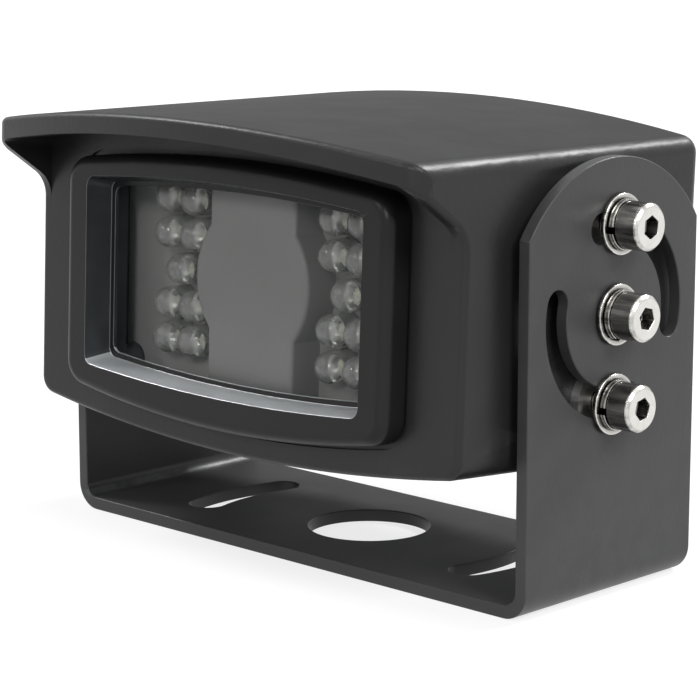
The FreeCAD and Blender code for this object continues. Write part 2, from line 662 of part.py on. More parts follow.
def make_shell():
    body = new_body("housing_shell")
    tip = shell_section(body, "TipSection", size.visor_forward, size.tip_shoulder, size.tip_crown,
                        size.tip_foot, size.tip_belly)
    rear = shell_section(body, "RearSection", -size.rear_reach, size.rear_shoulder, size.rear_crown,
                         size.rear_foot, size.rear_belly)
    loft(body, "Additive", "Casting", rear, tip)
    dress(body, "Fillet", "TailRound", size.tail_round, lambda p: near(p.y, size.rear_reach))

    # Side view of what is cut away in front: the front wall's face, then up along the cheek.
    far = size.visor_forward + size.cutter_reach
    rise = (far - size.rim_forward) * sine(size.cheek_slope) / cosine(size.cheek_slope)
    cut = Outline(body, "CheekSide", "YZ_Plane")
    below = -(size.rear_belly + size.cutter_reach)
    polygon(cut, ((-size.rim_forward, below), (-size.rim_forward, size.cheek_top),
                  (-far, size.cheek_top + rise), (-far, below)))
    pocket(body, "CheekCut", cut.close(), both=True)
    dress(body, "Fillet", "CheekBlend", size.cheek_blend,
          lambda p: near(p.y, -size.rim_forward) and near(p.z, size.cheek_top))

    # Plan view of the visor's bowed tip, rounded off at its two corners.
    bow = Outline(body, "VisorPlan", "XY_Plane")
    corner = size.visor_corner
    radius = (SHELL_HALF * SHELL_HALF + size.visor_bow * size.visor_bow) / (size.visor_bow * 2)
    centre = radius - size.visor_forward
    across = SHELL_HALF - corner * cosine(size.corner_run_out)
    share = across / (radius - corner)
    level = root(as_size(1) - share * share)
    back = centre - (radius - corner) * level
    turn = math.asin(share.number)
    edge = across + corner
    half = SHELL_HALF + size.cutter_reach
    arcs = []
    for x, y, r, start, end in ((ZERO, centre, radius, -math.pi / 2 - turn, -math.pi / 2 + turn),
                                (across, back, corner, -math.pi / 2 + turn, 0),
                                (-across, back, corner, -math.pi, -math.pi / 2 - turn)):
        around = Part.Circle(V(x.number, y.number, 0), V(0, 0, 1), r.number)
        arcs.append(bow.curve(Part.ArcOfCircle(around, start, end)))
        bow.sized("Radius", (arcs[-1],), r)
    corners = ((edge, back), (half, back), (half, -far), (-half, -far), (-half, back), (-edge, back))
    lines = []
    for (x1, y1), (x2, y2) in zip(corners, corners[1:]):
        lines.append(bow.curve(Part.LineSegment(V(x1.number, y1.number, 0), V(x2.number, y2.number, 0))))
    bow.rule("Coincident", arcs[0], 2, arcs[1], 1)
    bow.rule("Coincident", arcs[1], 2, lines[0], 1)
    for before, after in zip(lines, lines[1:]):
        bow.rule("Coincident", before, 2, after, 1)
    bow.rule("Coincident", lines[-1], 2, arcs[2], 1)
    bow.rule("Coincident", arcs[2], 2, arcs[0], 1)
    for line, (x, y) in zip(lines, corners):
        bow.pin(line, 1, x, y)
    bow.pin(lines[-1], 2, *corners[-1])
    bow.pin(arcs[0], 1, -radius * share, centre - radius * level)
    bow.pin(arcs[0], 2, radius * share, centre - radius * level)
    pocket(body, "VisorBow", bow.close(), both=True)

    # Rounding round the whole front edge, from the rim up the cheeks and along the tip.
    dress(body, "Fillet", "FrontEdge", size.front_edge_round,
          lambda p: p.y < -size.rim_forward.number + 0.1)

    # Hollow under the visor, down to the front wall's face.
    hollow = Outline(body, "VisorHollow", "XZ_Plane", far)
    inside = SHELL_HALF - size.visor_wall
    barrel(hollow, inside, (size.tip_shoulder - size.visor_lip, size.tip_crown - size.visor_lip),
           (-(size.tip_foot - size.visor_lip), -(size.tip_belly - size.visor_lip)), size.visor_wall)
    pocket(body, "Hollow", hollow.close(), far - size.rim_forward)

    # Seat of the bezel, rebate of the glass and the window through the front wall.
    seat = Outline(body, "BezelSeat", "XZ_Plane", size.rim_forward)
    bezel_outline(seat, size.bezel_groove)
    pocket(body, "Seat", seat.close(), size.bezel_seat)
    rebate = Outline(body, "GlassRebate", "XZ_Plane", size.rim_forward)
    window(rebate, size.glass_inset_out + size.fit_gap)
    pocket(body, "Rebate", rebate.close(), size.rim_forward - REBATE_FLOOR)
    opening = Outline(body, "WindowOpening", "XZ_Plane", REBATE_FLOOR)
    window(opening, size.glass_inset_out - size.gasket_width)
    pocket(body, "Opening", opening.close(), REBATE_FLOOR - CAVITY_FRONT)

    # Main cavity, open at the rear, with a wider rebate there for the cover.
    cavity = Outline(body, "Cavity", "XZ_Plane", CAVITY_FRONT)
    inner_barrel(cavity, size.shell_wall, size.shell_wall)
    pocket(body, "MainCavity", cavity.close())
    cover_seat = Outline(body, "CoverSeat", "XZ_Plane", LEDGE)
    inner_barrel(cover_seat, size.rebate_wall, size.rebate_wall)
    pocket(body, "CoverRebate", cover_seat.close())

    # Posts for the lamp board and for the rear cover's screws.
    posts = Outline(body, "BoardPosts", "XZ_Plane", BOARD_FACE)
    for x, z in four_spots(POST_ACROSS, POST_UP):
        circle(posts, x, z, size.post_diameter / 2)
    pad(body, "Posts", posts.close(), CAVITY_FRONT - BOARD_FACE + size.root_overlap)
    corners = Outline(body, "CornerPosts", "XZ_Plane", LEDGE)
    for x, z in four_spots(CORNER_ACROSS, size.corner_post_up):
        circle(corners, x, z, size.corner_post / 2)
    pad(body, "CoverPosts", corners.close(), CAVITY_FRONT - LEDGE + size.root_overlap)
    board_depth = size.board_screw_bite + size.hole_spare
    drilled = Outline(body, "BoardScrewHoles", "XZ_Plane", BOARD_FACE + board_depth)
    for x, z in four_spots(POST_ACROSS, POST_UP):
        circle(drilled, x, z, size.board_screw / 2 + size.thread_gap)
    pocket(body, "BoardHoles", drilled.close(), board_depth)
    cover_depth = size.cover_screw_bite + size.hole_spare
    threaded = Outline(body, "CoverScrewHoles", "XZ_Plane", LEDGE + cover_depth)
    for x, z in four_spots(CORNER_ACROSS, size.corner_post_up):
        circle(threaded, x, z, size.cover_screw / 2 + size.thread_gap)
    pocket(body, "CoverHoles", threaded.close(), cover_depth)

    # Bosses for the side screws, inside both side walls, with blind threaded holes.
    for sign in (1, -1):
        side_name = "Right" if sign > 0 else "Left"
        start = CAVITY_HALF - size.side_boss_length if sign > 0 else -(CAVITY_HALF + size.root_overlap)
        bosses = Outline(body, side_name + "Bosses", "YZ_Plane", start)
        for y, z in SCREW_SPOTS:
            circle(bosses, y, z, size.side_boss / 2)
        pad(body, side_name + "BossPads", bosses.close(), size.side_boss_length + size.root_overlap)
        outside = SHELL_HALF if sign > 0 else -(SHELL_HALF - size.screw_bite - size.hole_spare)
        holes = Outline(body, side_name + "ScrewHoles", "YZ_Plane", outside)
        for y, z in SCREW_SPOTS:
            circle(holes, y, z, size.screw_thread / 2 + size.thread_gap)
        pocket(body, side_name + "Threads", holes.close(), size.screw_bite + size.hole_spare)


# Window pieces

def bezel_outline(outline, outward):
    barrel(outline, size.bezel_half_width + outward,
           (size.bezel_top_shoulder + outward, size.bezel_top_crown + outward),
           (-(size.bezel_bottom_shoulder + outward), -(size.bezel_bottom_crown + outward)),
           size.bezel_corner + outward)


def make_bezel():
    body = new_body("window_bezel")
    back = size.rim_forward - size.bezel_seat
    frame = Outline(body, "FrameOutline", "XZ_Plane", back)
    bezel_outline(frame, ZERO)
    pad(body, "Frame", frame.close(), BEZEL_FACE - back)
    dress(body, "Fillet", "FrameEdge", size.bezel_edge_round,
          lambda p: near(p.y, -BEZEL_FACE))
    collar = Outline(body, "CollarOutline", "XZ_Plane", GLASS_FACE)
    window(collar, size.glass_inset_out)
    pad(body, "Collar", collar.close(), back - GLASS_FACE)
    lip = Outline(body, "LipOpening", "XZ_Plane", BEZEL_FACE)
    window(lip, -(size.slope_inset + size.lip_width))
    pocket(body, "Lip", lip.close())
    outer = Outline(body, "SlopeFront", "XZ_Plane", BEZEL_FACE)
    window(outer, ZERO)
    inner = Outline(body, "SlopeBack", "XZ_Plane", LIP_FACE)
    window(inner, -size.slope_inset)
    loft(body, "Subtractive", "Slope", outer.close(), inner.close())


def make_glass():
    body = new_body("window_glass")
    pane = Outline(body, "PaneOutline", "XZ_Plane", GLASS_BACK)
    window(pane, size.glass_inset_out)
    pad(body, "Pane", pane.close(), size.glass_thickness)


def make_window_gasket():
    body = new_body("window_gasket")
    frame = Outline(body, "GasketOutline", "XZ_Plane", REBATE_FLOOR)
    window(frame, size.glass_inset_out)
    window(frame, size.glass_inset_out - size.gasket_width)
    pad(body, "Gasket", frame.close(), size.gasket_thickness)


# Lamp board, plate, lamps and the blank cover between the banks

def bank_spots():
    """Two rows of two, a single in the middle, and two rows of two, in one bank."""
    spots = []
    half = COLUMN_PITCH / 2
    for row in (2, 1, 0, -1, -2):
        up = size.led_rise + ROW_PITCH * row
        columns = (ZERO,) if row == 0 else (-half, half)
        spots += [(column, up) for column in columns]
    return spots


def lamp_spots():
    """Every lamp's name and place, with the same bank left and right."""
    lamps = []
    for side, sign in (("left", -1), ("right", 1)):
        for number, (across, up) in enumerate(bank_spots(), start=1):
            lamps.append((f"led_{side}_{number}", size.led_bank_offset * sign + across, up))
    return lamps


def make_lamp(name, across, up):
    """A clear round lamp: flange, straight body and domed end, turned about its own axis."""
    body = new_body(name)
    spot = f"placement(vector({across.formula}; 0 - {BOARD_FACE.formula}; {up.formula}); " \
           "rotation(vector(1; 0; 0); 0))"
    body.setExpression("Placement", f"{LIFT} * {spot}")
    radius = size.led_diameter / 2
    dome = size.led_length - radius
    outline = Outline(body, "LampProfile", "XY_Plane")
    flange = FLANGE_WIDTH / 2
    corners = ((ZERO, ZERO), (flange, ZERO), (flange, -size.led_flange_height),
               (radius, -size.led_flange_height), (radius, -dome))
    lines = []
    for (x1, y1), (x2, y2) in zip(corners, corners[1:]):
        edge = Part.LineSegment(V(x1.number, y1.number, 0), V(x2.number, y2.number, 0))
        lines.append(outline.curve(edge))
    around = Part.Circle(V(0, -dome.number, 0), V(0, 0, 1), radius.number)
    arc = outline.curve(Part.ArcOfCircle(around, -math.pi / 2, 0))
    axis = outline.curve(Part.LineSegment(V(0, -size.led_length.number, 0), V(0, 0, 0)))
    for before, after in zip(lines, lines[1:]):
        outline.rule("Coincident", before, 2, after, 1)
    outline.rule("Coincident", lines[-1], 2, arc, 2)
    outline.rule("Coincident", arc, 1, axis, 1)
    outline.rule("Coincident", axis, 2, lines[0], 1)
    for line, (x, y) in zip(lines, corners):
        outline.pin(line, 1, x, y)
    outline.pin(lines[-1], 2, *corners[-1])
    outline.pin(axis, 1, ZERO, -size.led_length)
    outline.sized("Radius", (arc,), radius)
    revolve(body, "Lamp", outline.close())


def make_lamp_board():
    body = new_body("led_board")
    board = Outline(body, "BoardOutline", "XZ_Plane", BOARD_BACK)
    box_with_corners(board, BOARD_HALF, size.board_half_height, size.board_corner)
    for x, z in four_spots(POST_ACROSS, POST_UP):
        circle(board, x, z, size.board_screw / 2 + size.screw_gap)
    pad(body, "Board", board.close(), size.board_thickness)


def make_holder():
    """The grey plate that the lamps look through, standing off the lamp board on its feet."""
    body = new_body("led_holder")
    plate = Outline(body, "PlateOutline", "XZ_Plane", HOLDER_BACK)
    box_with_corners(plate, BOARD_HALF - size.holder_margin,
                     size.board_half_height - size.holder_margin, size.board_corner)
    for name, across, up in lamp_spots():
        circle(plate, across, up, size.led_diameter / 2 + size.led_hole_gap)
    pad(body, "Plate", plate.close(), size.holder_thickness)
    notches = Outline(body, "PostNotches", "XZ_Plane", HOLDER_FACE)
    for x, z in four_spots(POST_ACROSS, POST_UP):
        circle(notches, x, z, size.post_diameter / 2 + size.screw_gap)
    pocket(body, "Notches", notches.close())
    feet = Outline(body, "PlateFeet", "XZ_Plane", BOARD_FACE)
    for x in (-1, 1):
        circle(feet, size.foot_across * x, ZERO, size.foot_diameter / 2)
    for z in (-1, 1):
        circle(feet, ZERO, size.foot_up * z, size.foot_diameter / 2)
    pad(body, "Feet", feet.close(), size.holder_standoff + size.root_overlap)


def make_centre_cover():
    """A blank moulded cover: a round middle on an upright neck, hollow behind."""
    body = new_body("centre_cover")
    neck = Outline(body, "NeckOutline", "XZ_Plane", HOLDER_FACE)
    box_with_corners(neck, size.cover_neck, size.cover_half_height, size.cover_corner)
    pad(body, "Neck", neck.close(), size.cover_height)
    disc = Outline(body, "DiscOutline", "XZ_Plane", HOLDER_FACE)
    circle(disc, ZERO, size.led_rise, size.cover_radius)
    pad(body, "Disc", disc.close(), size.cover_height)
    dress(body, "Fillet", "FaceEdge", size.cover_corner,
          lambda p: near(p.y, -(HOLDER_FACE + size.cover_height)))
    inside = HOLDER_FACE + size.cover_height - size.cover_wall
    depth = size.cover_height - size.cover_wall
    neck_inside = Outline(body, "NeckInside", "XZ_Plane", inside)
    box_with_corners(neck_inside, size.cover_neck - size.cover_wall,
                     size.cover_half_height - size.cover_wall, size.cover_corner)
    pocket(body, "NeckHollow", neck_inside.close(), depth)
    disc_inside = Outline(body, "DiscInside", "XZ_Plane", inside)
    circle(disc_inside, ZERO, size.led_rise, size.cover_radius - size.cover_wall)
    pocket(body, "DiscHollow", disc_inside.close(), depth)


def make_rear_facing_screws(name, spots, thread, head, head_height, seat, bite):
    """Round-headed screws driven from the rear: seat is the face under their heads."""
    body = new_body(name, groups=True)
    shanks = Outline(body, "Shanks", "XZ_Plane", seat - head_height / 2)
    heads = Outline(body, "Heads", "XZ_Plane", seat - head_height)
    for x, z in spots:
        circle(shanks, x, z, thread / 2)
        circle(heads, x, z, head / 2)
    pad(body, "ShankPads", shanks.close(), bite + head_height / 2)
    pad(body, "HeadPads", heads.close(), head_height)
    dress(body, "Chamfer", "HeadEdges", head_height / 3, lambda p: near(p.y, -(seat - head_height)))


# Driver board and what it carries

def make_driver():
    board = new_body("driver_board")
    outline = Outline(board, "DriverOutline", "XZ_Plane", DRIVER_BACK)
    box_with_corners(outline, size.driver_half_width, size.driver_half_height, size.board_corner)
    for x, z in four_spots(size.spacer_across, size.spacer_up):
        circle(outline, x, z, size.board_screw / 2 + size.screw_gap)
    pad(board, "Board", outline.close(), size.board_thickness)

    spacers = new_body("board_spacers", groups=True)
    columns = Outline(spacers, "SpacerColumns", "XZ_Plane", DRIVER_FACE)
    for x, z in four_spots(size.spacer_across, size.spacer_up):
        circle(columns, x, z, size.spacer_diameter / 2)
    pad(spacers, "Spacers", columns.close(), size.spacer_length)
    depth = size.board_screw_bite + size.hole_spare
    bores = Outline(spacers, "SpacerBores", "XZ_Plane", DRIVER_FACE + depth)
    for x, z in four_spots(size.spacer_across, size.spacer_up):
        circle(bores, x, z, size.board_screw / 2 + size.thread_gap)
    pocket(spacers, "Bores", bores.close(), depth)

    for name, diameter, height, across in (
            ("power_inductor", size.inductor_diameter, size.inductor_height, -size.inductor_across),
            ("smoothing_capacitor", size.capacitor_diameter, size.capacitor_height, size.capacitor_across)):
        part = new_body(name)
        can = Outline(part, "Can", "XZ_Plane", DRIVER_BACK - height)
        circle(can, across, ZERO, diameter / 2)
        pad(part, "Body", can.close(), height)
        dress(part, "Chamfer", "Rim", size.cover_corner, lambda p: near(p.y, -(DRIVER_BACK - height)))

    header = new_body("supply_header")
    shell = Outline(header, "HeaderOutline", "XZ_Plane", DRIVER_BACK - size.header_height)
    x, z = size.header_width / 2, size.header_depth / 2
    low = -size.header_down
    polygon(shell, ((-x, low - z), (x, low - z), (x, low + z), (-x, low + z)))
    pad(header, "Header", shell.close(), size.header_height)
    mouth = Outline(header, "HeaderMouth", "XZ_Plane", DRIVER_BACK - size.header_wall)
    inner_x, inner_z = x - size.header_wall, z - size.header_wall
    polygon(mouth, ((-inner_x, low - inner_z), (inner_x, low - inner_z),
                    (inner_x, low + inner_z), (-inner_x, low + inner_z)))
    pocket(header, "Mouth", mouth.close(), size.header_height)


# Rear cover and cable gland

def make_rear_cover():
    gasket = new_body("rear_gasket")
    frame = Outline(gasket, "GasketOutline", "XZ_Plane", COVER_FRONT)
    inner_barrel(frame, size.rebate_wall + size.fit_gap, size.rebate_wall)
    inner_barrel(frame, size.shell_wall, size.shell_wall)
    pad(gasket, "Gasket", frame.close(), size.cover_gasket)

    cover = new_body("rear_cover")
    plate = Outline(cover, "CoverOutline", "XZ_Plane", COVER_REAR)
    inner_barrel(plate, size.rebate_wall + size.fit_gap, size.rebate_wall)
    circle(plate, ZERO, ZERO, size.gland_thread / 2 + size.screw_gap)
    for x, z in four_spots(CORNER_ACROSS, size.corner_post_up):
        circle(plate, x, z, size.cover_screw / 2 + size.screw_gap)
    pad(cover, "Plate", plate.close(), size.rear_cover_thickness)


def make_gland():
    """Screwed cable gland through the rear cover, turned and milled about one axis."""
    bore = size.gland_bore / 2
    body = new_body("gland_body")
    thread = Outline(body, "Thread", "XZ_Plane", GLAND_FLANGE_REAR - size.gland_stub)
    circle(thread, ZERO, ZERO, size.gland_thread / 2)
    pad(body, "ThreadPad", thread.close(),
        COVER_FRONT + size.gland_inside - GLAND_FLANGE_REAR + size.gland_stub)
    flange = Outline(body, "Flange", "XZ_Plane", GLAND_FLANGE_REAR)
    hexagon(flange, ZERO, ZERO, size.gland_hex)
    pad(body, "FlangePad", flange.close(), size.gland_flange)
    hole = Outline(body, "CableBore", "XZ_Plane", COVER_FRONT + size.gland_inside)
    circle(hole, ZERO, ZERO, bore)
    pocket(body, "Bore", hole.close())

    seal = new_body("gland_seal")
    ring = Outline(seal, "SealRing", "XZ_Plane", GLAND_FLANGE_REAR - size.gland_stub - size.gland_seal_wall)
    circle(ring, ZERO, ZERO, size.gland_thread / 2 - size.fit_gap)
    circle(ring, ZERO, ZERO, bore)
    pad(seal, "Seal", ring.close(), size.gland_seal_wall)

    # Cap: a turned nose with a hexagon's flats cut into its collar, hollow for thread and seal.
    cap = new_body("gland_cap")
    top = GLAND_FLANGE_REAR - size.fit_gap
    profile = Outline(cap, "CapProfile", "XY_Plane")
    collar = size.gland_cap_diameter / 2
    nose = size.gland_cap_nose / 2
    inside = size.gland_thread / 2 + size.thread_gap
    end = top - size.gland_cap
    floor = GLAND_FLANGE_REAR - size.gland_stub - size.gland_seal_wall
    polygon(profile, ((inside, -top), (collar, -top), (collar, -(top - size.gland_collar)),
                      (nose, -end), (bore, -end), (bore, -floor), (inside, -floor)))
    revolve(cap, "CapTurned", profile.close())

    nut = new_body("gland_nut")
    flats = Outline(nut, "NutFlats", "XZ_Plane", COVER_FRONT)
    hexagon(flats, ZERO, ZERO, size.gland_hex)
    circle(flats, ZERO, ZERO, size.gland_thread / 2 + size.thread_gap)
    pad(nut, "Nut", flats.close(), size.gland_nut)


# Side screws and their washers, drawn on the right side and mirrored to the left

def make_side_screws(name, spots):
    body = new_body(name, groups=True)
    tip = SHELL_HALF - size.screw_bite
    head_end = HEAD_SEAT + size.screw_head_height
    shanks = Outline(body, "Shanks", "YZ_Plane", tip)
    heads = Outline(body, "Heads", "YZ_Plane", HEAD_SEAT)
    sockets = Outline(body, "Sockets", "YZ_Plane", head_end)
    for y, z in spots:
        circle(shanks, y, z, size.screw_thread / 2)
        circle(heads, y, z, size.screw_head / 2)
        hexagon(sockets, y, z, size.socket_flats)
    pad(body, "ShankPads", shanks.close(), HEAD_SEAT + size.screw_chamfer - tip)
    pad(body, "HeadPads", heads.close(), size.screw_head_height)
    dress(body, "Chamfer", "HeadChamfers", size.screw_chamfer, lambda p: near(p.x, head_end))
    pocket(body, "SocketCuts", sockets.close(), size.socket_depth)
    mirror_sides(body)


def make_side_rings(name, seat, thickness, diameter, split=None):
    """One flat ring under each side screw, optionally split like a spring washer."""
    body = new_body(name, groups=True)
    rings = Outline(body, "Rings", "YZ_Plane", seat)
    for y, z in SCREW_SPOTS:
        circle(rings, y, z, diameter / 2)
        circle(rings, y, z, size.washer_hole / 2)
    pad(body, "RingPads", rings.close(), thickness)
    if split is not None:
        cuts = Outline(body, "Splits", "YZ_Plane", seat + thickness)
        for y, z in SCREW_SPOTS:
            polygon(cuts, ((y, z - split / 2), (y + diameter, z - split / 2),
                           (y + diameter, z + split / 2), (y, z + split / 2)))
        pocket(body, "SplitCuts", cuts.close(), thickness)
    mirror_sides(body)


def check_document():
    """Stops on any failed object and on any sub-part without a sound shape."""
    for thing in doc.Objects:
        if "Invalid" in thing.State or "Error" in thing.State:
            raise RuntimeError(f"{thing.Name} is {thing.State}")
    for part in PARTS:
        if part.Shape.isNull() or not part.Shape.isValid():
            raise RuntimeError(f"{part.Name} has no sound shape")


def export_parts():
    os.makedirs("parts", exist_ok=True)
    for part in PARTS:
        part.Shape.exportStep(os.path.join("parts", part.Label + ".step"))


make_bracket()
make_shell()
make_bezel()
make_glass()
make_window_gasket()
make_lamp_board()
make_holder()
for lamp_name, lamp_across, lamp_up in lamp_spots():
    make_lamp(lamp_name, lamp_across, lamp_up)
make_centre_cover()
make_rear_facing_screws("board_screws", four_spots(POST_ACROSS, POST_UP), size.board_screw,
                        size.board_screw_head, size.board_screw_head_height, BOARD_BACK,
                        size.board_screw_bite + size.board_thickness)
make_driver()
make_rear_facing_screws("driver_screws", four_spots(size.spacer_across, size.spacer_up), size.board_screw,
                        size.board_screw_head, size.board_screw_head_height, DRIVER_BACK,
                        size.board_screw_bite + size.board_thickness)
make_rear_cover()
make_rear_facing_screws("rear_cover_screws", four_spots(CORNER_ACROSS, size.corner_post_up),
                        size.cover_screw, size.cover_screw_head, size.cover_screw_head_height, COVER_REAR,
                        size.cover_screw_bite + size.cover_gasket + size.rear_cover_thickness)
make_gland()
make_side_screws("pivot_screws", SCREW_SPOTS[:1])
make_side_screws("lock_screws", SCREW_SPOTS[1:])
make_side_rings("flat_washers", WASHER_SEAT, size.washer_thickness, size.washer_diameter)
make_side_rings("spring_washers", SPRING_SEAT, size.spring_washer_thickness, size.spring_washer_diameter,
                size.spring_washer_split)
make_side_rings("ear_spacers", SHELL_HALF, EAR_INSIDE - size.ear_play - SHELL_HALF,
                size.ear_spacer_diameter)

doc.recompute()
check_document()
export_parts()
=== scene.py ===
import math
import bmesh
import bpy
from mathutils import Matrix, Vector


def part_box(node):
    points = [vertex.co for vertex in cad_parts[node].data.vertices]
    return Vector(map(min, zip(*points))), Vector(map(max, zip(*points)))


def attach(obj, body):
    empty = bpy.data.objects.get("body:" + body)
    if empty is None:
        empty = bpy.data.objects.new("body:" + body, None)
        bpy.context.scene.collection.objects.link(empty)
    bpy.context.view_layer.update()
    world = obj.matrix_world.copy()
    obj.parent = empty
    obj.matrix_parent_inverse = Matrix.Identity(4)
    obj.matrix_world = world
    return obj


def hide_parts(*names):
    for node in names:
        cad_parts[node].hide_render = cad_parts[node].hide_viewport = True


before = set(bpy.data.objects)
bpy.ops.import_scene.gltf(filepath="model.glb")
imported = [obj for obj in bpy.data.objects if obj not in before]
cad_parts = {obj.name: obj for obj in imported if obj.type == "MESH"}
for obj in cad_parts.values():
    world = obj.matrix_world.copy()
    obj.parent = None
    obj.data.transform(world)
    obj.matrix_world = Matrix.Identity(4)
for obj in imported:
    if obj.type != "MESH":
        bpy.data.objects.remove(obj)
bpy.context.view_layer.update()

MM = 0.001
HEAD, BRACKET = "housing", "bracket"


# Where the head stands: its upright places are turned about the pivot by its tilt in degrees.

PIVOT = Vector((0, 0, 42.3 * MM))
HEAD_TILT = -2.5
TILT = Matrix.Translation(PIVOT) @ Matrix.Rotation(math.radians(HEAD_TILT), 4, "X")


def linear(code):
    """An sRGB hex colour as linear red, green, blue and a full alpha."""
    parts = [int(code[i:i + 2], 16) / 255 for i in (1, 3, 5)]
    return [p / 12.92 if p <= 0.04045 else ((p + 0.055) / 1.055) ** 2.4 for p in parts] + [1.0]


def add(tree, kind, inputs=None, **settings):
    """Adds one node with its settings, and sets or links each of its inputs."""
    made = tree.nodes.new(kind)
    for name, value in settings.items():
        setattr(made, name, value)
    for key, value in (inputs or {}).items():
        if isinstance(value, bpy.types.NodeSocket):
            tree.links.new(value, made.inputs[key])
        else:
            made.inputs[key].default_value = value
    return made


def new_finish(name, **surface):
    """Starts a material: its tree, its shader and the piece's own place in space."""
    material = bpy.data.materials.new(name)
    material.use_nodes = True
    tree = material.node_tree
    tree.nodes.clear()
    values = {key.replace("_", " "): value for key, value in surface.items()}
    shader = add(tree, "ShaderNodeBsdfPrincipled", values)
    add(tree, "ShaderNodeOutputMaterial", {"Surface": shader.outputs["BSDF"]})
    place = add(tree, "ShaderNodeTexCoord").outputs["Object"]
    return material, tree, shader, place


# Most of a noise pattern lies between these two values.
NOISE_REACH = (0.35, 0.65)


def wandering(tree, place, size_mm, low, high, detail=2.0):
    """A number that wanders from low to high over the surface, in blotches about size_mm across."""
    noise = add(tree, "ShaderNodeTexNoise", {"Vector": place, "Scale": 1 / (size_mm * MM),
                                             "Detail": detail})
    spread = add(tree, "ShaderNodeMapRange", {
        "Value": noise.outputs["Fac"], "From Min": NOISE_REACH[0], "From Max": NOISE_REACH[1],
        "To Min": low, "To Max": high})
    return spread.outputs["Result"]


def mottled(tree, place, size_mm, dark, light):
    """A colour that drifts between two tones of one coat or moulding."""
    drift = wandering(tree, place, size_mm, 0.0, 1.0, detail=3.0)
    return add(tree, "ShaderNodeMix", {"Factor": drift, 6: linear(dark), 7: linear(light)},
               data_type="RGBA").outputs[2]


def grained(tree, shader, place, size_mm, depth_mm, strength=0.6, detail=2.0):
    """A fine grain on the skin, in spots about size_mm across and depth_mm high."""
    height = wandering(tree, place, size_mm, 0.0, 1.0, detail)
    bump = add(tree, "ShaderNodeBump", {"Height": height, "Distance": depth_mm * MM,
                                        "Strength": strength})
    tree.links.new(bump.outputs["Normal"], shader.inputs["Normal"])


# Finishes

# Each pair is where an effect starts and where it is full: paint rubbed off a bent edge, with a
# painted highlight there, dust on a face that looks up, the bright face of a turned end, and metal
# far enough out of a recess to be free of its painted shade.
WORN_AND_LIT_EDGE, DUSTY_FACE = (0.53, 0.62), (0.8, 0.96)
FACED_END, UNSHADED_METAL = (0.5, 0.9), (0.42, 0.85)
FACED_TONE, RECESS_SHADE_TONE = "#d6d4d0", "#242423"


def powder_coat(name, dark, light, worn_and_lit, peel_mm, depth_mm, gloss, dulled, shine):
    """Powder coat: a fine orange peel, dull where dust lies on top, edges a little paler from
    rubbed paint and a painted highlight.
    """
    material, tree, shader, place = new_finish(name, IOR=1.5, Specular_IOR_Level=shine)
    tone = mottled(tree, place, 22.0, dark, light)
    # Sharp outer edges come out paler: partly paint rubbed thin, partly a painted highlight along
    # them.
    bend = add(tree, "ShaderNodeNewGeometry").outputs["Pointiness"]
    edge = add(tree, "ShaderNodeMapRange", {"Value": bend, "From Min": WORN_AND_LIT_EDGE[0],
                                            "From Max": WORN_AND_LIT_EDGE[1]})
    patchy = wandering(tree, place, 3.0, 0.1, 0.5)
    wear_and_highlight = add(tree, "ShaderNodeMath", {0: edge.outputs["Result"], 1: patchy},
              operation="MULTIPLY", use_clamp=True)
    colour = add(tree, "ShaderNodeMix", {"Factor": wear_and_highlight.outputs[0], 6: tone, 7: linear(worn_and_lit)},
                 data_type="RGBA")
    tree.links.new(colour.outputs[2], shader.inputs["Base Color"])
    facing = add(tree, "ShaderNodeTexCoord").outputs["Normal"]
    upward = add(tree, "ShaderNodeSeparateXYZ", {"Vector": facing}).outputs["Z"]
    dusty = add(tree, "ShaderNodeMapRange", {
        "Value": upward, "From Min": DUSTY_FACE[0], "From Max": DUSTY_FACE[1],
        "To Min": gloss, "To Max": dulled})
    cloud = wandering(tree, place, 9.0, -0.02, 0.03)
    sheen = add(tree, "ShaderNodeMath", {0: dusty.outputs["Result"], 1: cloud}, operation="ADD")
    tree.links.new(sheen.outputs[0], shader.inputs["Roughness"])
    grained(tree, shader, place, peel_mm, depth_mm, detail=3.0)
    return material


def moulded(name, dark, light, gloss, spark_mm, depth_mm):
    """Moulded or pressed: an even colour with the fine spark texture of its tool."""
    material, tree, shader, place = new_finish(name, IOR=1.53)
    tree.links.new(mottled(tree, place, 9.0, dark, light), shader.inputs["Base Color"])
    rough = wandering(tree, place, 4.0, gloss - 0.04, gloss + 0.05)
    tree.links.new(rough, shader.inputs["Roughness"])
    # A real tool's sparks leave spots of about 0.1 mm; spark_mm is coarser, so that they show.
    grained(tree, shader, place, spark_mm, depth_mm)
    return material


